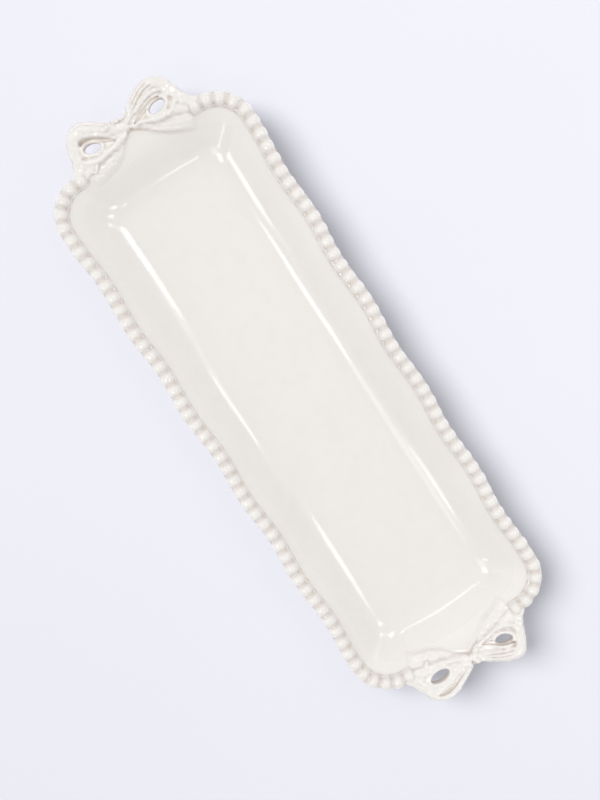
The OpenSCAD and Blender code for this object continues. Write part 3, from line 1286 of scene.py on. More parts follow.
class Relief:
    """A grid of distances to a bow's surface, in which its parts are blended.

    It reaches from LOW to HIGH round the knot, in the bow's millimetres. A bow's glaze
    ends LIP_LEFT inside the lip's edge, and the dish counts as wall from WALL_Z down.
    """

    LOW = (-47.0, -31.0, -13.0)
    HIGH = (47.0, 18.5, 9.5)
    FAR = 50.0
    LEAST_SLOPE = 0.35
    LIP_LEFT = 1.0
    LIP_SOFT = 0.5
    WALL_Z = -0.2

    def __init__(self, shape: DishShape, knot_y: float, step: float) -> None:
        """Lays out the grid round the bow and the dish under it.

        Args:
            shape: The dish.
            knot_y: Distance from the plate's middle to the knot.
            step: Size of a cell.
        """
        self.shape, self.step = shape, step
        self.low = np.array(self.LOW)
        counts = np.ceil((np.array(self.HIGH) - self.low) / step).astype(int)
        axes = [self.low[k] + np.arange(counts[k]) * step for k in range(3)]
        self.x, self.y = np.meshgrid(axes[0], axes[1], indexing="ij")
        self.z = axes[2][None, None, :]
        self.inset = shape.inset_at(self.x, self.y + knot_y)
        self.ground = shape.face_z(self.inset) - shape.lip_h
        self.field = np.full((*self.x.shape, counts[2]), self.FAR, np.float32)
        # Painted shade along the ribbons' feet
        self.foot_shade = np.zeros_like(self.x)

    @staticmethod
    def blend(one: np.ndarray, two: np.ndarray, soft: float) -> np.ndarray:
        """The union of two distances with a fillet of about the size soft."""
        near = np.maximum(soft - np.abs(one - two), 0) / soft
        return np.minimum(one, two) - near * near * soft / 4

    def across(self, rows: np.ndarray) -> tuple[np.ndarray, ...]:
        """Place of every column of the grid along and across a ribbon.

        Args:
            rows: Samples of x, y, half width and height.

        Returns:
            Distance from the middle line, signed offset, share along it, reach past its
            end, half width and height.
        """
        line = rows[:, :2]
        way = np.gradient(line, axis=0)
        way /= np.linalg.norm(way, axis=1, keepdims=True)
        best = np.full(self.x.shape, np.inf)
        index = np.zeros(self.x.shape, int)
        for k, (px, py) in enumerate(line):
            d = (self.x - px) ** 2 + (self.y - py) ** 2
            closer = d < best
            best[closer], index[closer] = d[closer], k
        dx, dy = self.x - line[index, 0], self.y - line[index, 1]
        offset = way[index, 0] * dy - way[index, 1] * dx
        past = np.where(index == len(line) - 1, way[index, 0] * dx + way[index, 1] * dy, 0.0)
        along = index / (len(line) - 1)
        return np.sqrt(best), offset, along, past, rows[index, 2], rows[index, 3]

    def ribbon(self, part: Ribbon) -> np.ndarray:
        """Distance to one ribbon.

        Args:
            part: The ribbon.

        Returns:
            The distance at every cell, less than 0 inside.
        """
        rows = through(np.array(part.rows, float), part.steps)
        distance, offset, along, past, width, height = self.across(rows)
        if part.square_end:
            distance = np.where(past > 0, np.abs(offset), distance)
        groove = np.zeros_like(distance)
        for fold in part.folds:
            groove += fold.depth_at(along, offset / width)
        # Painted shade along the ribbon's foot, most near the knot
        foot = bell(distance, width, part.foot_shade_w) * ramp(along, *part.foot_shade_fade)
        self.foot_shade = np.maximum(self.foot_shade, part.foot_shade * foot)
        ground = self.ground if part.over_wall else np.zeros_like(distance)
        base, wide, high = (values[..., None] for values in (ground, width, height))
        q = distance[..., None] / wide
        rise = np.maximum((self.z - base + groove[..., None]) / high, 0)
        a = part.fullness
        total = q**a + rise**a
        size = total ** (1 / a)
        slope = total ** (1 / a - 1) * np.hypot(q ** (a - 1) / wide, rise ** (a - 1) / high)
        out = (size - 1) / np.maximum(slope, self.LEAST_SLOPE / np.maximum(wide, high))
        out = np.maximum(out, base - (part.rooted if part.over_wall else 0.0) - self.z)
        if part.square_end:
            out = -self.blend(-out, part.end_past - past[..., None], part.end_ease)
        return out

    def pad(self, part: Pad) -> np.ndarray:
        """Distance to a flat piece with an eased edge.

        Args:
            part: The piece.

        Returns:
            The distance at every cell, less than 0 inside.
        """
        corners = np.array(part.outline, float)
        closed = np.concatenate([corners, corners[:3]])
        edge = through(closed, part.steps)[part.steps :][: part.steps * len(corners)]
        distance = np.full(self.x.shape, np.inf)
        inside = np.zeros(self.x.shape, bool)
        for (ax, ay), (bx, by) in zip(edge, np.roll(edge, -1, 0)):
            ex, ey = bx - ax, by - ay
            t = np.clip(((self.x - ax) * ex + (self.y - ay) * ey) / (ex * ex + ey * ey), 0, 1)
            distance = np.minimum(distance, np.hypot(self.x - ax - t * ex, self.y - ay - t * ey))
            if ay != by:
                crosses = ((ay > self.y) != (by > self.y)) & (self.x < ex * (self.y - ay) / ey + ax)
                inside ^= crosses
        flat = np.where(inside, -distance, distance)[..., None] + part.ease
        rise = self.z - (part.height - part.ease)
        out = np.hypot(np.maximum(flat, 0), np.maximum(rise, 0)) + np.minimum(np.maximum(flat, rise), 0)
        return np.maximum(out - part.ease, -self.z)

    def hole(self, part: Hole) -> np.ndarray:
        """Distance to a pierced oval that flares upwards, less than 0 inside it."""
        flare = np.clip(self.z - part.flare_z, 0, part.flare_h) * part.flare
        return part.outside(self.x, self.y)[..., None] - flare

    def ring(self, part: Hole) -> np.ndarray:
        """Distance to the rounded ring of clay round a pierced oval.

        Args:
            part: The oval.

        Returns:
            The distance at every cell, less than 0 inside.
        """
        flat = part.outside(self.x, self.y)[..., None] - part.ring
        round_top = np.hypot(flat, np.maximum(self.z - part.crown + part.ring, 0)) - part.ring
        return np.maximum(round_top, -self.z)

    def roughen(self, depth: float) -> None:
        """Gives the clay the unevenness of a hand-finished piece, as three crossed waves.

        Args:
            depth: Height of a wave.
        """
        x, y = self.x[..., None], self.y[..., None]
        wave = np.sin(x * 0.93 + 1.7 * np.sin(y * 0.61)) + np.sin(y * 1.21 + 1.3 * np.sin(x * 0.47) + 2)
        wave = wave + 0.8 * np.sin((x + y) * 1.55 + np.sin((x - y) * 0.8))
        self.field = (self.field + depth * wave).astype(np.float32)

    def slit(self, part: Slit) -> np.ndarray:
        """Distance to a groove.

        Args:
            part: The groove.

        Returns:
            The distance at every cell, less than 0 inside.
        """
        rows = through(np.array([(*row, 1.0) for row in part.rows], float), part.steps)
        distance, _, _, _, width, _ = self.across(rows)
        return np.maximum((distance - width)[..., None], part.floor - self.z)

    def pinch(self, part: Pinch) -> np.ndarray:
        """Distance to a gathered lump.

        Args:
            part: The lump.

        Returns:
            The distance at every cell, less than 0 inside.
        """
        u, v = in_oval(self.x, self.y, part.place, part.reach, part.turn)
        w = (self.z - part.place[2]) / part.reach[2]
        size = np.sqrt((u * u + v * v)[..., None] + w * w)
        return (size - 1) * min(part.reach)

    def add(self, distance: np.ndarray, soft: float) -> None:
        """Blends a part into the bow."""
        self.field = self.blend(self.field, distance.astype(np.float32), soft)

    def cut(self, distance: np.ndarray, soft: float) -> None:
        """Takes a part out of the bow, with a soft edge."""
        self.field = -self.blend(-self.field, distance.astype(np.float32), soft)

    def settle(
        self, skirt: float = 1.5, fillet: float = 2.2, sunk: float = 0.06, depth: float = 0.9
    ) -> None:
        """Joins the bow to the dish under it with a fillet of glaze.

        Args:
            skirt: How far the glaze creeps out over the dish.
            fillet: Size of the fillet.
            sunk: How far the glaze's thin edge lies below the dish's face.
            depth: How far the bow reaches down into the dish.
        """
        lip_edge = (self.LIP_LEFT - self.shape.land_out - self.inset)[..., None]
        outside = lip_edge > -self.LIP_SOFT
        on_wall = self.ground < self.WALL_Z
        lean = np.where(on_wall, math.cos(self.shape.wall_slope), 1.0)
        dish = (self.z - self.ground[..., None] + sunk) * lean[..., None]
        joined = self.blend(self.field, np.maximum(dish, lip_edge), fillet)
        deep = self.ground[..., None] - depth - self.z
        kept = np.maximum(np.maximum(joined, self.field - skirt), np.where(outside, -self.FAR, deep))
        self.field = np.where(outside, np.minimum(self.field, kept), kept).astype(np.float32)

    def surface(self) -> tuple[np.ndarray, np.ndarray]:
        """The skin on which the distance is 0.

        Returns:
            Points in the bow's millimetres and four-sided faces that point outwards.
        """
        value = self.field
        cells = np.array(value.shape) - 1
        total = np.zeros((*cells, 3), np.float32)
        hits = np.zeros(cells, np.float32)

        def part(corner: Sequence[int]) -> tuple[slice, ...]:
            """The cells' corner as a slice of the grid."""
            return tuple(slice(c, c + n) for c, n in zip(corner, cells))

        for axis in range(3):
            others = [k for k in range(3) if k != axis]
            for u in (0, 1):
                for v in (0, 1):
                    corner = [0, 0, 0]
                    corner[others[0]], corner[others[1]] = u, v
                    far = list(corner)
                    far[axis] = 1
                    a, b = value[part(corner)], value[part(far)]
                    crossed = (a < 0) != (b < 0)
                    share = np.where(crossed, a / np.where(crossed, a - b, 1), 0)
                    for k in range(3):
                        total[..., k] += np.where(crossed, share if k == axis else corner[k], 0)
                    hits += crossed
        used = hits > 0
        index = np.full(tuple(cells), -1)
        index[used] = np.arange(used.sum())
        where = np.argwhere(used)
        points = self.low + (where + total[used] / hits[used][:, None]) * self.step
        faces = []
        for axis in range(3):
            o1, o2 = (axis + 1) % 3, (axis + 2) % 3
            sel = [slice(1, n) for n in cells]
            sel[axis] = slice(0, cells[axis])
            a = value[tuple(sel)]
            nxt = list(sel)
            nxt[axis] = slice(1, cells[axis] + 1)
            b = value[tuple(nxt)]
            at = np.argwhere((a < 0) != (b < 0))
            inward = (a < 0)[tuple(at.T)]
            at = at + np.array([0 if k == axis else 1 for k in range(3)])
            ring = []
            for d1, d2 in ((1, 1), (0, 1), (0, 0), (1, 0)):
                cell = at.copy()
                cell[:, o1] -= d1
                cell[:, o2] -= d2
                ring.append(index[tuple(cell.T)])
            quads = np.stack(ring, 1)
            faces.append(np.where(inward[:, None], quads, quads[:, ::-1]))
        return points, np.concatenate(faces)


def relaxed(
    points: np.ndarray,
    faces: np.ndarray,
    rounds: int = 3,
    smooth: float = 0.5,
    swell: float = 0.35,
    spread: int = 10,
) -> tuple[np.ndarray, np.ndarray, np.ndarray]:
    """Evens out a mesh and measures its hollows.

    Args:
        points: The mesh's points.
        faces: Its four-sided faces.
        rounds: How often the points move to their neighbours' middle and back.
        smooth: The share of the way to the middle that they move.
        swell: The share that they then move back, so that the mesh doesn't shrink.
        spread: How often the measure of the hollows is evened out.

    Returns:
        The new points, the direction that each of them faces, and how far it lies below
        its neighbours, less than 0 on a ridge.
    """
    edges = np.concatenate([faces[:, [k, (k + 1) % 4]] for k in range(4)])
    edges = np.unique(np.sort(edges, axis=1), axis=0)
    count = np.bincount(edges.ravel(), minlength=len(points))[:, None]

    def middle(values: np.ndarray) -> np.ndarray:
        """Mean of every point's neighbours.

        Args:
            values: One row for each point.

        Returns:
            The neighbours' mean row for each point.
        """
        out = np.zeros_like(values)
        for a, b in ((0, 1), (1, 0)):
            for k in range(values.shape[1]):
                out[:, k] += np.bincount(edges[:, a], values[edges[:, b], k], len(points))
        return out / count

    for _ in range(rounds):
        points = points + (middle(points) - points) * smooth
        points = points - (middle(points) - points) * swell
    corner = [points[faces[:, k]] for k in range(4)]
    face = np.cross(corner[2] - corner[0], corner[3] - corner[1])
    normal = np.zeros_like(points)
    for k in range(4):
        for c in range(3):
            normal[:, c] += np.bincount(faces[:, k], face[:, c], len(points))
    normal /= np.maximum(np.linalg.norm(normal, axis=1, keepdims=True), TINY)
    bend = ((middle(points) - points) * normal).sum(1, keepdims=True)
    for _ in range(spread):
        bend = middle(bend)
    return points, normal, bend[:, 0]


@dataclass
class Bow:
    """A ribbon bow: a knot, two loops and two tails, luted to the lip and glazed over.

    A fillet is the size of the soft joint with which parts of a kind meet the rest. Pairs
    of heights, slopes or distances say where the glaze pool and painted shade begin and where they are
    full.
    """

    shape: DishShape
    glaze: bpy.types.Material
    end: End
    pattern: BowPattern
    knot_out: float = 12.5
    step: float = 0.36
    pad_fillet: float = 1.0
    ribbon_fillet: float = 1.3
    ring_fillet: float = 1.2
    pinch_fillet: float = 0.7
    slit_fillet: float = 1.6
    hole_fillet: float = 0.9
    roughness: float = 0.07
    # Glaze pool and painted shade in the hollows, by how far a point lies below its neighbours, held
    # between two limits
    bend_pool_and_shade: float = 15.0
    # Painted shade on steep sides above the lip
    steep_shade: float = 0.3
    steep_slope: tuple[float, float] = (0.92, 0.42)
    steep_z: tuple[float, float] = (0.6, 1.6)
    least_pool_and_shade: float = 0.1
    most_pool_and_shade: float = 0.95
    # The share of glaze pool and painted shade that the tails keep
    tail_pool_and_shade: float = 0.6
    tail_y: tuple[float, float] = (-5.0, -8.0)
    # Heights over which the painted shade along a ribbon's foot fades in
    foot_shade_z: tuple[float, float] = (1.5, 0.5)
    # Painted shade, with some pooled glaze, in and round the holes
    hole_pool_and_shade: float = 0.45
    hole_reach: tuple[float, float] = (1.2, 0.2)
    hole_z: tuple[float, float] = (4.0, 1.5)

    def relief(self) -> Relief:
        """Presses the bow's parts together on a grid and pierces its loops.

        Returns:
            The grid, with the bow joined to the dish.
        """
        relief = Relief(self.shape, self.shape.rim_len / 2 + self.knot_out, self.step)
        for parts, distance, fillet in (
            (self.pattern.pads, relief.pad, self.pad_fillet),
            (self.pattern.ribbons, relief.ribbon, self.ribbon_fillet),
            (self.pattern.holes, relief.ring, self.ring_fillet),
            (self.pattern.pinches, relief.pinch, self.pinch_fillet),
        ):
            for part in parts:
                relief.add(distance(part), fillet)
        relief.roughen(self.roughness)
        for part in self.pattern.slits:
            relief.cut(relief.slit(part), self.slit_fillet)
        for part in self.pattern.holes:
            relief.cut(relief.hole(part), self.hole_fillet)
        relief.settle()
        return relief

    def pool(
        self, relief: Relief, points: np.ndarray, normal: np.ndarray, bend: np.ndarray
    ) -> np.ndarray:
        """Works out where the glaze pools and where shade is painted.

        Args:
            relief: The bow's grid.
            points: The bow's points.
            normal: The direction that each point faces.
            bend: How far each point lies below its neighbours.

        Returns:
            EVEN on even ground; more in a hollow, for pooled glaze and painted shade; more on a
            steep side above the lip, along a ribbon's foot and in a hole, for painted shade; and
            less on a ridge.
        """
        y, z = points[:, 1], points[:, 2]
        # Painted shade on steep sides above the lip
        steep = ramp(normal[:, 2], *self.steep_slope) * ramp(z, *self.steep_z)
        # Glaze pool and painted shade in the hollows, and painted shade on steep sides
        pool = EVEN + bend * self.bend_pool_and_shade + self.steep_shade * steep
        pool = np.clip(pool, self.least_pool_and_shade, self.most_pool_and_shade)
        pool = EVEN + (pool - EVEN) * (1 - (1 - self.tail_pool_and_shade) * ramp(y, *self.tail_y))
        cell = np.round((points - relief.low) / self.step).astype(int)
        # Painted shade along a ribbon's foot
        pool = pool + relief.foot_shade[cell[:, 0], cell[:, 1]] * ramp(z, *self.foot_shade_z)
        # Painted shade in and round the holes
        for part in self.pattern.holes:
            near = ramp(part.outside(points[:, 0], y), *self.hole_reach)
            pool = np.maximum(pool, EVEN + self.hole_pool_and_shade * near * ramp(z, *self.hole_z))
        return pool

    def build(self) -> None:
        """Makes the bow and hands it to the frame."""
        relief = self.relief()
        points, faces = relief.surface()
        points, normal, bend = relaxed(points, faces)
        pool = self.pool(relief, points, normal, bend)
        points = points + np.array([0, self.shape.rim_len / 2 + self.knot_out, self.shape.lip_h])
        if self.end is End.SOUTH:
            points = points * np.array([-1, -1, 1])
        prefix = self.end.name.lower()
        piece = Surface(points, faces, pool).as_object(f"ribbon_bow_{prefix}", self.glaze)
        parts = ("knot", "loop_east", "loop_west", "tail_east", "tail_west")
        finish_piece(piece, Slot.IVORY_GLAZE, *(f"{prefix}_{part}" for part in parts))


# The north bow, seen from above with the well below it: x, y outlines of its loops,
# and rows of x, y, half width and height of its bands, from the knot outwards
NORTH_EAST_LOOP = Pad(
    (
        (2.5, 4.6), (6, 7.4), (10, 10.6), (15, 13.2), (20, 15.1), (24, 15.6), (28, 14.5), (31.4, 11.8),
        (34.6, 7.4), (36.8, 2.8), (38.6, -1.8), (41.2, -5.8), (44.4, -9.2), (43.6, -12.6), (37, -14),
        (31, -12), (25, -10.5), (18, -9), (12, -7.5), (6, -5.5), (2.5, -4),
    )
)
NORTH_WEST_LOOP = Pad(
    (
        (-2.5, -4.5), (-6, -7), (-12, -8.5), (-18, -9.5), (-25, -10.5), (-31, -12.5), (-37, -14.5),
        (-43.4, -13), (-44.4, -10), (-41.4, -7.2), (-38.6, -3.4), (-37, 1), (-35.4, 5.3), (-33.4, 9.8),
        (-31, 13.6), (-28, 15.6), (-24, 15.8), (-20, 14.3), (-15, 11), (-10, 7.2), (-2.5, 3.8),
    )
)
NORTH_BOW = BowPattern(
    pads=(NORTH_EAST_LOOP, NORTH_WEST_LOOP),
    ribbons=(
        Ribbon(
            (
                (2.5, 1.4, 2.4, 4.6), (8, 5.2, 3.5, 5.6), (15, 9.2, 4.2, 6.4), (20, 11.1, 4.3, 6.9),
                (25, 11.3, 4.3, 6.9), (29.6, 9.0, 4.3, 6.4), (32.4, 4, 4.2, 5.7), (34.4, -2, 4.0, 5.2),
                (37.4, -7.2, 3.6, 4.8), (41, -10.6, 3.2, 4.6),
            ),
            (
                Fold(-0.42, 0.13, 1.2, 0.03, 0.5), Fold(0.12, 0.12, 1.1, 0.03, 0.47),
                Fold(0.6, 0.12, 0.7, 0.03, 0.42), Fold(0.2, 0.3, 0.4, 0.62, 1.2),
            ),
        ),
        Ribbon(
            (
                (9, 2.2, 1.0, 4.6), (14, 4.6, 1.5, 5.0), (19, 6.2, 1.8, 5.2), (24, 6.6, 1.9, 5.2),
                (28.4, 5.0, 1.8, 4.9), (30.4, 0.6, 1.6, 4.7),
            )
        ),
        Ribbon(
            (
                (3, -2.8, 1.5, 4.2), (10, -4.4, 1.7, 4.6), (15, -6.6, 1.8, 4.6), (21, -8.2, 1.8, 4.5),
                (27, -7.8, 1.9, 4.4), (31.6, -4.6, 2.1, 4.4),
            )
        ),
        Ribbon(
            (
                (-2.5, -0.2, 2.8, 4.6), (-7, 1.3, 4.0, 5.2), (-12, 3.4, 4.8, 5.8), (-18, 7.4, 5.2, 6.4),
                (-24, 10.0, 5.6, 6.8), (-29.8, 8.6, 5.0, 6.5), (-33, 3, 4.2, 5.9), (-34.8, -3, 4.0, 5.3),
                (-37.4, -8, 3.7, 4.9), (-41, -11, 3.2, 4.6),
            ),
            (
                Fold(0.35, 0.22, 0.7, 0.08, 0.5), Fold(-0.5, 0.14, 0.7, 0.12, 0.6),
                Fold(0.1, 0.3, 0.5, 0.62, 1.2),
            ),
        ),
        Ribbon(
            (
                (-3, -4.6, 1.6, 4.0), (-10, -6.8, 2.0, 4.4), (-15, -7.8, 2.0, 4.3), (-20, -8.6, 2.0, 4.2),
                (-26, -8.6, 2.0, 4.2), (-32, -5.6, 2.2, 4.3),
            )
        ),
        Ribbon(
            (
                (3, -3.2, 1.3, 3.6), (9, -6.2, 2.5, 3.2), (14, -9.1, 3.2, 2.7), (20, -12.3, 3.9, 2.2),
                (26, -14.8, 4.3, 1.9), (31, -16.7, 4.4, 1.6), (35, -18.0, 4.2, 1.2),
            ),
            (Fold(0.3, 0.2, 0.6, 0.1, 0.9), Fold(-0.35, 0.16, 0.4, 0.3, 0.9)),
            fullness=3.4, square_end=True, over_wall=True, foot_shade=0.27,
        ),
        Ribbon(
            (
                (-3, -4.0, 1.5, 3.4), (-8, -7.0, 3.2, 3.3), (-13, -9.6, 4.6, 2.9), (-19, -11.6, 5.4, 2.4),
                (-25, -13.0, 5.6, 2.0), (-30, -14.4, 5.2, 1.6), (-33.6, -15.8, 4.6, 1.1),
            ),
            (Fold(-0.15, 0.16, 0.35, 0.3, 0.8), Fold(0.45, 0.14, 0.4, 0.1, 0.6)),
            fullness=3.2, square_end=True, over_wall=True,
        ),
    ),
    pinches=(
        Pinch((-1.5, -0.2, 0.2), (5.4, 4.6, 4.9)),
        Pinch((-10.0, 3.4, 5.3), (1.9, 1.4, 1.6)),
        Pinch((-7.6, 3.9, 4.4), (1.1, 1.5, 1.7)),
        Pinch((-5.3, 4.3, 4.3), (1.2, 1.6, 2.1)),
        Pinch((-2.8, 3.8, 4.4), (1.2, 1.5, 2.0)),
        Pinch((-0.3, 3.4, 4.4), (1.2, 1.5, 2.0)),
        Pinch((3.2, 4.3, 4.2), (1.9, 1.5, 1.9), 35),
        Pinch((-31.6, -11.6, 1.6), (3.2, 1.0, 1.3), -52),
        Pinch((-27.6, -11.8, 1.9), (3.0, 0.9, 1.3), 48),
    ),
    slits=(
        Slit(
            ((5.3, -2.8, 0.3), (10.3, -0.4, 0.7), (16.5, 1.5, 0.9), (20.5, 2.6, 0.8), (24.8, 2.8, 0.4)),
            2.2,
        ),
        Slit(
            ((-10, -4.0, 0.3), (-14.8, -1.2, 0.8), (-19, 1.4, 0.9), (-23, 3.3, 0.8), (-28, 3.8, 0.5)),
            2.1,
        ),
    ),
    holes=(Hole((21.4, -1.3), (5.2, 2.9), 10), Hole((-23.4, -1.3), (4.9, 2.7), -13)),
)

# The south bow, seen from above with the well below it, so that its first loop is the
# plate's west one
SOUTH_WEST_LOOP = Pad(
    (
        (2, 4), (5, 5.4), (9, 7.4), (13, 9.2), (18, 11.4), (23, 12.9), (28, 12.6), (31.6, 10.8), (35, 6.6),
        (38, 1.4), (39.8, -2.8), (42, -6), (44, -10), (42, -13.6), (37, -14.5), (31, -13.5), (25, -12),
        (18, -10.4), (12, -8.4), (6, -6), (2, -4),
    ),
    3.9,
)
SOUTH_EAST_LOOP = Pad(
    (
        (-2, -4), (-6, -6), (-12, -8), (-18, -10), (-25, -11.5), (-31, -13.2), (-37, -14.4),
        (-43.4, -12.8), (-44, -9), (-41, -6), (-38.6, -1.8), (-36.8, 2.4), (-35, 6.6), (-33, 11.4),
        (-30.6, 15), (-28, 16.6), (-24, 16.4), (-20, 14.7), (-16, 12), (-12, 9), (-2, 4),
    )
)
SOUTH_BOW = BowPattern(
    pads=(SOUTH_WEST_LOOP, SOUTH_EAST_LOOP),
    ribbons=(
        Ribbon(
            (
                (2.5, 2.2, 1.8, 4.6), (8, 4.9, 2.3, 5.6), (13, 7.3, 2.5, 6.2), (18, 9.6, 2.6, 6.6),
                (24, 10.9, 2.6, 6.7), (29.8, 9.4, 2.6, 6.4), (34, 5.2, 3.2, 6.0),
            ),
            fullness=2.8,
        ),
        Ribbon(
            (
                (3, -1.4, 2.2, 4.4), (12, 1.2, 3.3, 5.2), (18, 3.9, 3.4, 5.8), (25, 5.2, 3.3, 6.0),
                (31.6, 4.4, 3.6, 5.9), (35.4, -1, 4.0, 5.4), (38, -6.4, 3.7, 5.0), (41, -10.4, 3.2, 4.6),
            ),
            (
                Fold(0.35, 0.16, 0.8, 0.05, 0.5), Fold(-0.3, 0.16, 0.6, 0.05, 0.42),
                Fold(0.1, 0.3, 0.5, 0.66, 1.2),
            ),
            2.8,
        ),
        Ribbon(
            (
                (3, -3.4, 1.4, 4.2), (8, -5.2, 1.7, 4.4), (15, -7.8, 1.8, 4.4), (23, -9.6, 1.9, 4.3),
                (31.6, -8.4, 2.2, 4.4),
            )
        ),
        Ribbon(
            (
                (-2.5, 0.8, 2.6, 4.6), (-10, 4.6, 3.9, 5.5), (-16, 7.8, 4.6, 6.3), (-22, 10, 5.2, 6.8),
                (-27.6, 10.6, 4.8, 6.8), (-31.8, 5.4, 3.9, 6.1), (-34.4, -1, 3.8, 5.4),
                (-37.4, -7, 3.7, 5.0), (-41, -10.6, 3.2, 4.6),
            ),
            (
                Fold(0.45, 0.13, 1.2, 0.03, 0.5), Fold(-0.1, 0.13, 1.1, 0.03, 0.45),
                Fold(-0.6, 0.12, 0.8, 0.05, 0.4), Fold(-0.1, 0.3, 0.5, 0.62, 1.2),
            ),
        ),
        Ribbon(
            (
                (-3, -3.6, 1.4, 4.2), (-10, -6.2, 1.6, 4.4), (-16, -7.6, 1.6, 4.4), (-22, -8.6, 1.8, 4.4),
                (-28, -7.8, 2.0, 4.4), (-32.4, -4.6, 2.2, 4.6),
            )
        ),
        Ribbon(
            (
                (3, -4.4, 1.2, 3.4), (10, -7.6, 2.7, 3.1), (15, -10.8, 3.6, 2.7), (20, -13.6, 4.0, 2.3),
                (26, -15.4, 4.2, 2.0), (31, -16.8, 4.2, 1.7), (35, -18.2, 4.1, 1.2),
            ),
            (Fold(-0.45, 0.14, 0.6, 0.2, 0.9), Fold(0.25, 0.16, 0.5, 0.3, 0.9)),
            fullness=3.4, square_end=True, over_wall=True, foot_shade=0.12,
        ),
        Ribbon(
            (
                (-3, -4.4, 1.2, 3.4), (-9, -7.0, 2.5, 3.1), (-14, -9.6, 3.2, 2.8), (-20, -12.4, 3.8, 2.4),
                (-26, -14.2, 4.1, 2.1), (-31, -15.8, 4.2, 1.8), (-35, -17.4, 4.1, 1.2),
            ),
            (
                Fold(0.5, 0.13, 0.6, 0.2, 0.9), Fold(0.0, 0.14, 0.5, 0.35, 0.9),
                Fold(-0.5, 0.14, 0.4, 0.45, 0.9),
            ),
            fullness=3.2, square_end=True, over_wall=True,
        ),
    ),
    pinches=(
        Pinch((0.2, 0.2, 0.2), (4.8, 4.4, 4.6)),
        Pinch((-1.9, 1.7, 3.9), (2.1, 2.2, 2.2)),
        Pinch((3.8, 1.5, 3.8), (2.0, 2.2, 1.9), 20),
        Pinch((-6.8, -6.6, 3.6), (3.0, 0.9, 1.2), 8),
        Pinch((26.8, -12.9, 1.7), (2.6, 1.3, 1.4), 50),
    ),
    slits=(
        Slit(((1.0, 4.4, 0.4), (1.2, 2.6, 0.5), (1.4, 0.8, 0.2)), 3.0),
        Slit(((-11, -4.4, 0.5), (-15, -2.4, 1.1), (-19, 0.4, 1.2), (-23, 3.0, 0.8), (-27, 4.6, 0.4)), 2.0),
        Slit(((8, 2.6, 0.1), (14, 5.0, 0.2), (19, 7.2, 0.3), (25.5, 8.5, 0.3), (30, 7.6, 0.1)), 5.1),
    ),
    holes=(Hole((23.4, -2.4), (6.2, 3.1), 4), Hole((-22.9, -0.4), (5.1, 3.1), -20)),
)


@dataclass(frozen=True)
class Lamp:
    """An oval lamp that points at the plate's middle.

    Its place and its size are in metres, the size first across and then along the line to
    the middle. Its glow is 1 where it shows as white. It lights the objects whose names
    start with one of the names in lights, or all of them, and may show in mirrors alone.
    """

    name: str
    place: tuple[float, float, float]
    size: tuple[float, float]
    glow: float
    turn: float = 0.0
    lights: tuple[str, ...] = ()
    mirror_only: bool = False

    def hang(self) -> None:
        """Hangs the lamp. The objects that it lights are there already."""
        data = bpy.data.lights.new(self.name, "AREA")
        data.shape, data.size, data.size_y = "ELLIPSE", *self.size
        data.energy = self.glow * math.pi * self.size[0] * self.size[1]
        made = placed(self.name, data)
        made.location = self.place
        look = (-Vector(self.place)).to_track_quat("-Z", "Y").to_matrix()
        made.rotation_euler = (look @ Matrix.Rotation(math.radians(self.turn), 3, "Z")).to_euler()
        made.visible_camera = False
        made.visible_diffuse = not self.mirror_only
        if self.lights:
            lit = bpy.data.collections.new(self.name + "_lights")
            for thing in bpy.context.scene.collection.objects:
                if thing.name.startswith(self.lights):
                    lit.objects.link(thing)
            made.light_linking.receiver_collection = lit


NORTH, SOUTH = "ribbon_bow_north", "ribbon_bow_south"

# A soft lamp for the tabletop's shadow alone, small ones that glint in the beads or in a
# bow alone, then the narrow ones whose mirror images are the streaks in the well's folds
LAMPS = (
    Lamp("shadow_key", (-1.30, 2.10, 3.1), (2.3, 2.3), 34.0, lights=("tabletop",)),
    Lamp("pearl_glint", (-0.45, 0.02, 0.9), (0.22, 0.14), 9.0, lights=("pearls",), mirror_only=True),
    Lamp("bow_glint", (-0.25, -0.25, 0.9), (0.20, 0.14), 4.0, lights=(SOUTH,), mirror_only=True),
    Lamp("north_ridges", (-0.08, 0.52, 0.9), (0.34, 0.14), 4.0, lights=(NORTH,), mirror_only=True),
    Lamp("south_ridges", (0.02, -0.66, 0.9), (0.34, 0.16), 4.0, lights=(SOUTH,), mirror_only=True),
    Lamp("tail_glint", (0.12, 1.15, 0.9), (0.34, 0.24), 3.5, lights=(SOUTH,), mirror_only=True),
    Lamp("west_upper", (0.47, 0.245, 0.9), (0.23, 0.32), 3.2),
    Lamp("west_faint", (0.75, 0.06, 0.9), (0.13, 0.55), 1.0, turn=-55),
    Lamp("west_middle", (1.09, -0.10, 0.9), (0.22, 0.25), 2.7),
    Lamp("west_lower", (0.68, -0.44, 0.9), (0.17, 0.37), 3.0),
    Lamp("west_spot", (0.35, -0.92, 0.9), (0.34, 0.32), 3.4, mirror_only=True),
    Lamp("east_upper", (-1.66, 0.34, 0.9), (0.25, 0.56), 3.0, mirror_only=True),
    Lamp("east_middle", (-0.59, 0.035, 0.9), (0.32, 0.25), 3.0),
    Lamp("east_lower", (-1.10, -0.48, 0.9), (0.16, 0.36), 2.8, mirror_only=True),
    Lamp("east_faint", (-0.58, -0.29, 0.9), (0.42, 0.32), 1.0, turn=-27, mirror_only=True),
    Lamp("south_fold", (0.03, 0.58, 0.9), (0.26, 0.11), 2.8),
    Lamp("north_fold", (0.03, -0.60, 0.9), (0.09, 0.13), 3.0),
)


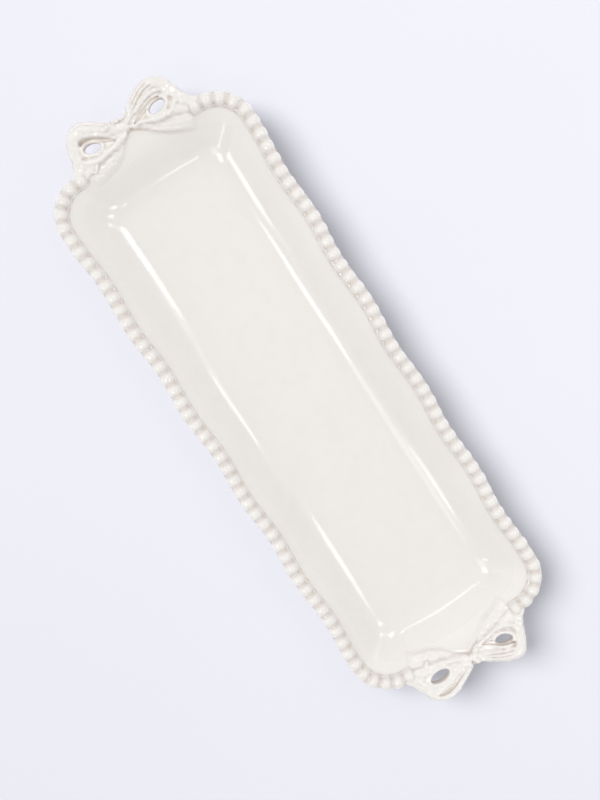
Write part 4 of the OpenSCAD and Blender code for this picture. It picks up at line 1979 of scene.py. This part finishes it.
@dataclass
class Studio:
    """The even light, the floor, the lamps and the camera.

    The camera's place is in millimetres, and its right and down are the photograph's own
    directions in the plate's frame. Its near and far limits and the tabletop's reach are in
    metres.
    """

    floor_finish: bpy.types.Material
    lens: float = 40.5
    sensor_w: float = 36.0
    place: tuple[float, float, float] = (10.2, 63.2, 571.1)
    right: tuple[float, float, float] = (0.83848, -0.54339, 0.04098)
    down: tuple[float, float, float] = (-0.54445, -0.83221, 0.1049)
    sky_tint: Colour = (0.985, 0.99, 1.0)
    sky_glow: float = 0.845
    sky_side: tuple[float, float, float] = (-0.12, 0.18, 0.42)
    sky_low: float = 0.735
    floor_reach: float = 3.0
    near: float = 0.01
    far: float = 20.0

    def hang_sky(self) -> bpy.types.World:
        """Makes the even light all round, a little stronger from above and from one side.

        Returns:
            The world that gives it.
        """
        world = bpy.data.worlds.new("studio")
        world.use_nodes = True
        bench = Bench(world.node_tree)
        lean = bench.dot(bench.add("ShaderNodeTexCoord", output="Generated"), self.sky_side)
        sky = world.node_tree.nodes["Background"]
        bench.feed(sky.inputs["Color"], self.sky_tint)
        bench.feed(sky.inputs["Strength"], (lean + self.sky_low) * self.sky_glow)
        return world

    def lay_floor(self) -> None:
        """Lays the tabletop."""
        mesh = bpy.data.meshes.new("tabletop")
        r = self.floor_reach
        mesh.from_pydata([(-r, -r, 0), (r, -r, 0), (r, r, 0), (-r, r, 0)], [], [(0, 1, 2, 3)])
        mesh.materials.append(self.floor_finish)
        floor = placed("tabletop", mesh)

    def place_camera(self) -> None:
        """Puts the camera where the photograph was taken from."""
        eye = bpy.data.cameras.new("camera")
        eye.sensor_width, eye.lens = self.sensor_w, self.lens
        eye.clip_start, eye.clip_end = self.near, self.far
        camera = placed("camera", eye)
        right, down = Vector(self.right).normalized(), Vector(self.down).normalized()
        turn = Matrix((right, -down, right.cross(-down))).transposed().to_4x4()
        camera.matrix_world = Matrix.Translation(Vector(self.place) * MM) @ turn
        bpy.context.scene.camera = camera

    def build(self) -> None:
        """Sets up the floor, the light and the camera."""
        scene = bpy.context.scene
        scene.view_settings.view_transform = "Standard"
        scene.world = self.hang_sky()
        self.lay_floor()
        for lamp in LAMPS:
            lamp.hang()
        self.place_camera()


def main() -> None:
    """Builds every piece in order, then the studio."""
    logging.basicConfig(level=logging.INFO, format="%(name)s: %(message)s")
    shape = DishShape()
    glaze, clay = Glaze(satin_z=19.0).make(), BareClay().make()
    over_beads = Glaze(
        name="ivory_glaze_over_beads",
        body=(0.85, 0.812, 0.758),
        thin=(0.87, 0.85, 0.82),
        lump_depth=0.11,
        # Painted shade round the beads' foot, just above the lip
        painted_shade_z=shape.lip_h + 0.2,
    ).make()
    over_bows = Glaze(
        name="ivory_glaze_over_bows",
        body=(0.855, 0.82, 0.77),
        # Darker colour of pooled glaze and painted shade
        pooled_and_shaded=(0.61, 0.53, 0.46),
        thin=(0.89, 0.87, 0.84),
        lump_depth=0.08,
    ).make()
    Dish(shape, glaze).build()
    FootRing(shape, clay).build()
    for side in (1, -1):
        BeadStrip(shape, over_beads, side).build()
    Bow(shape, over_bows, End.NORTH, NORTH_BOW).build()
    Bow(shape, over_bows, End.SOUTH, SOUTH_BOW).build()
    Studio(Tabletop().make()).build()


if __name__ == "__main__":
    main()
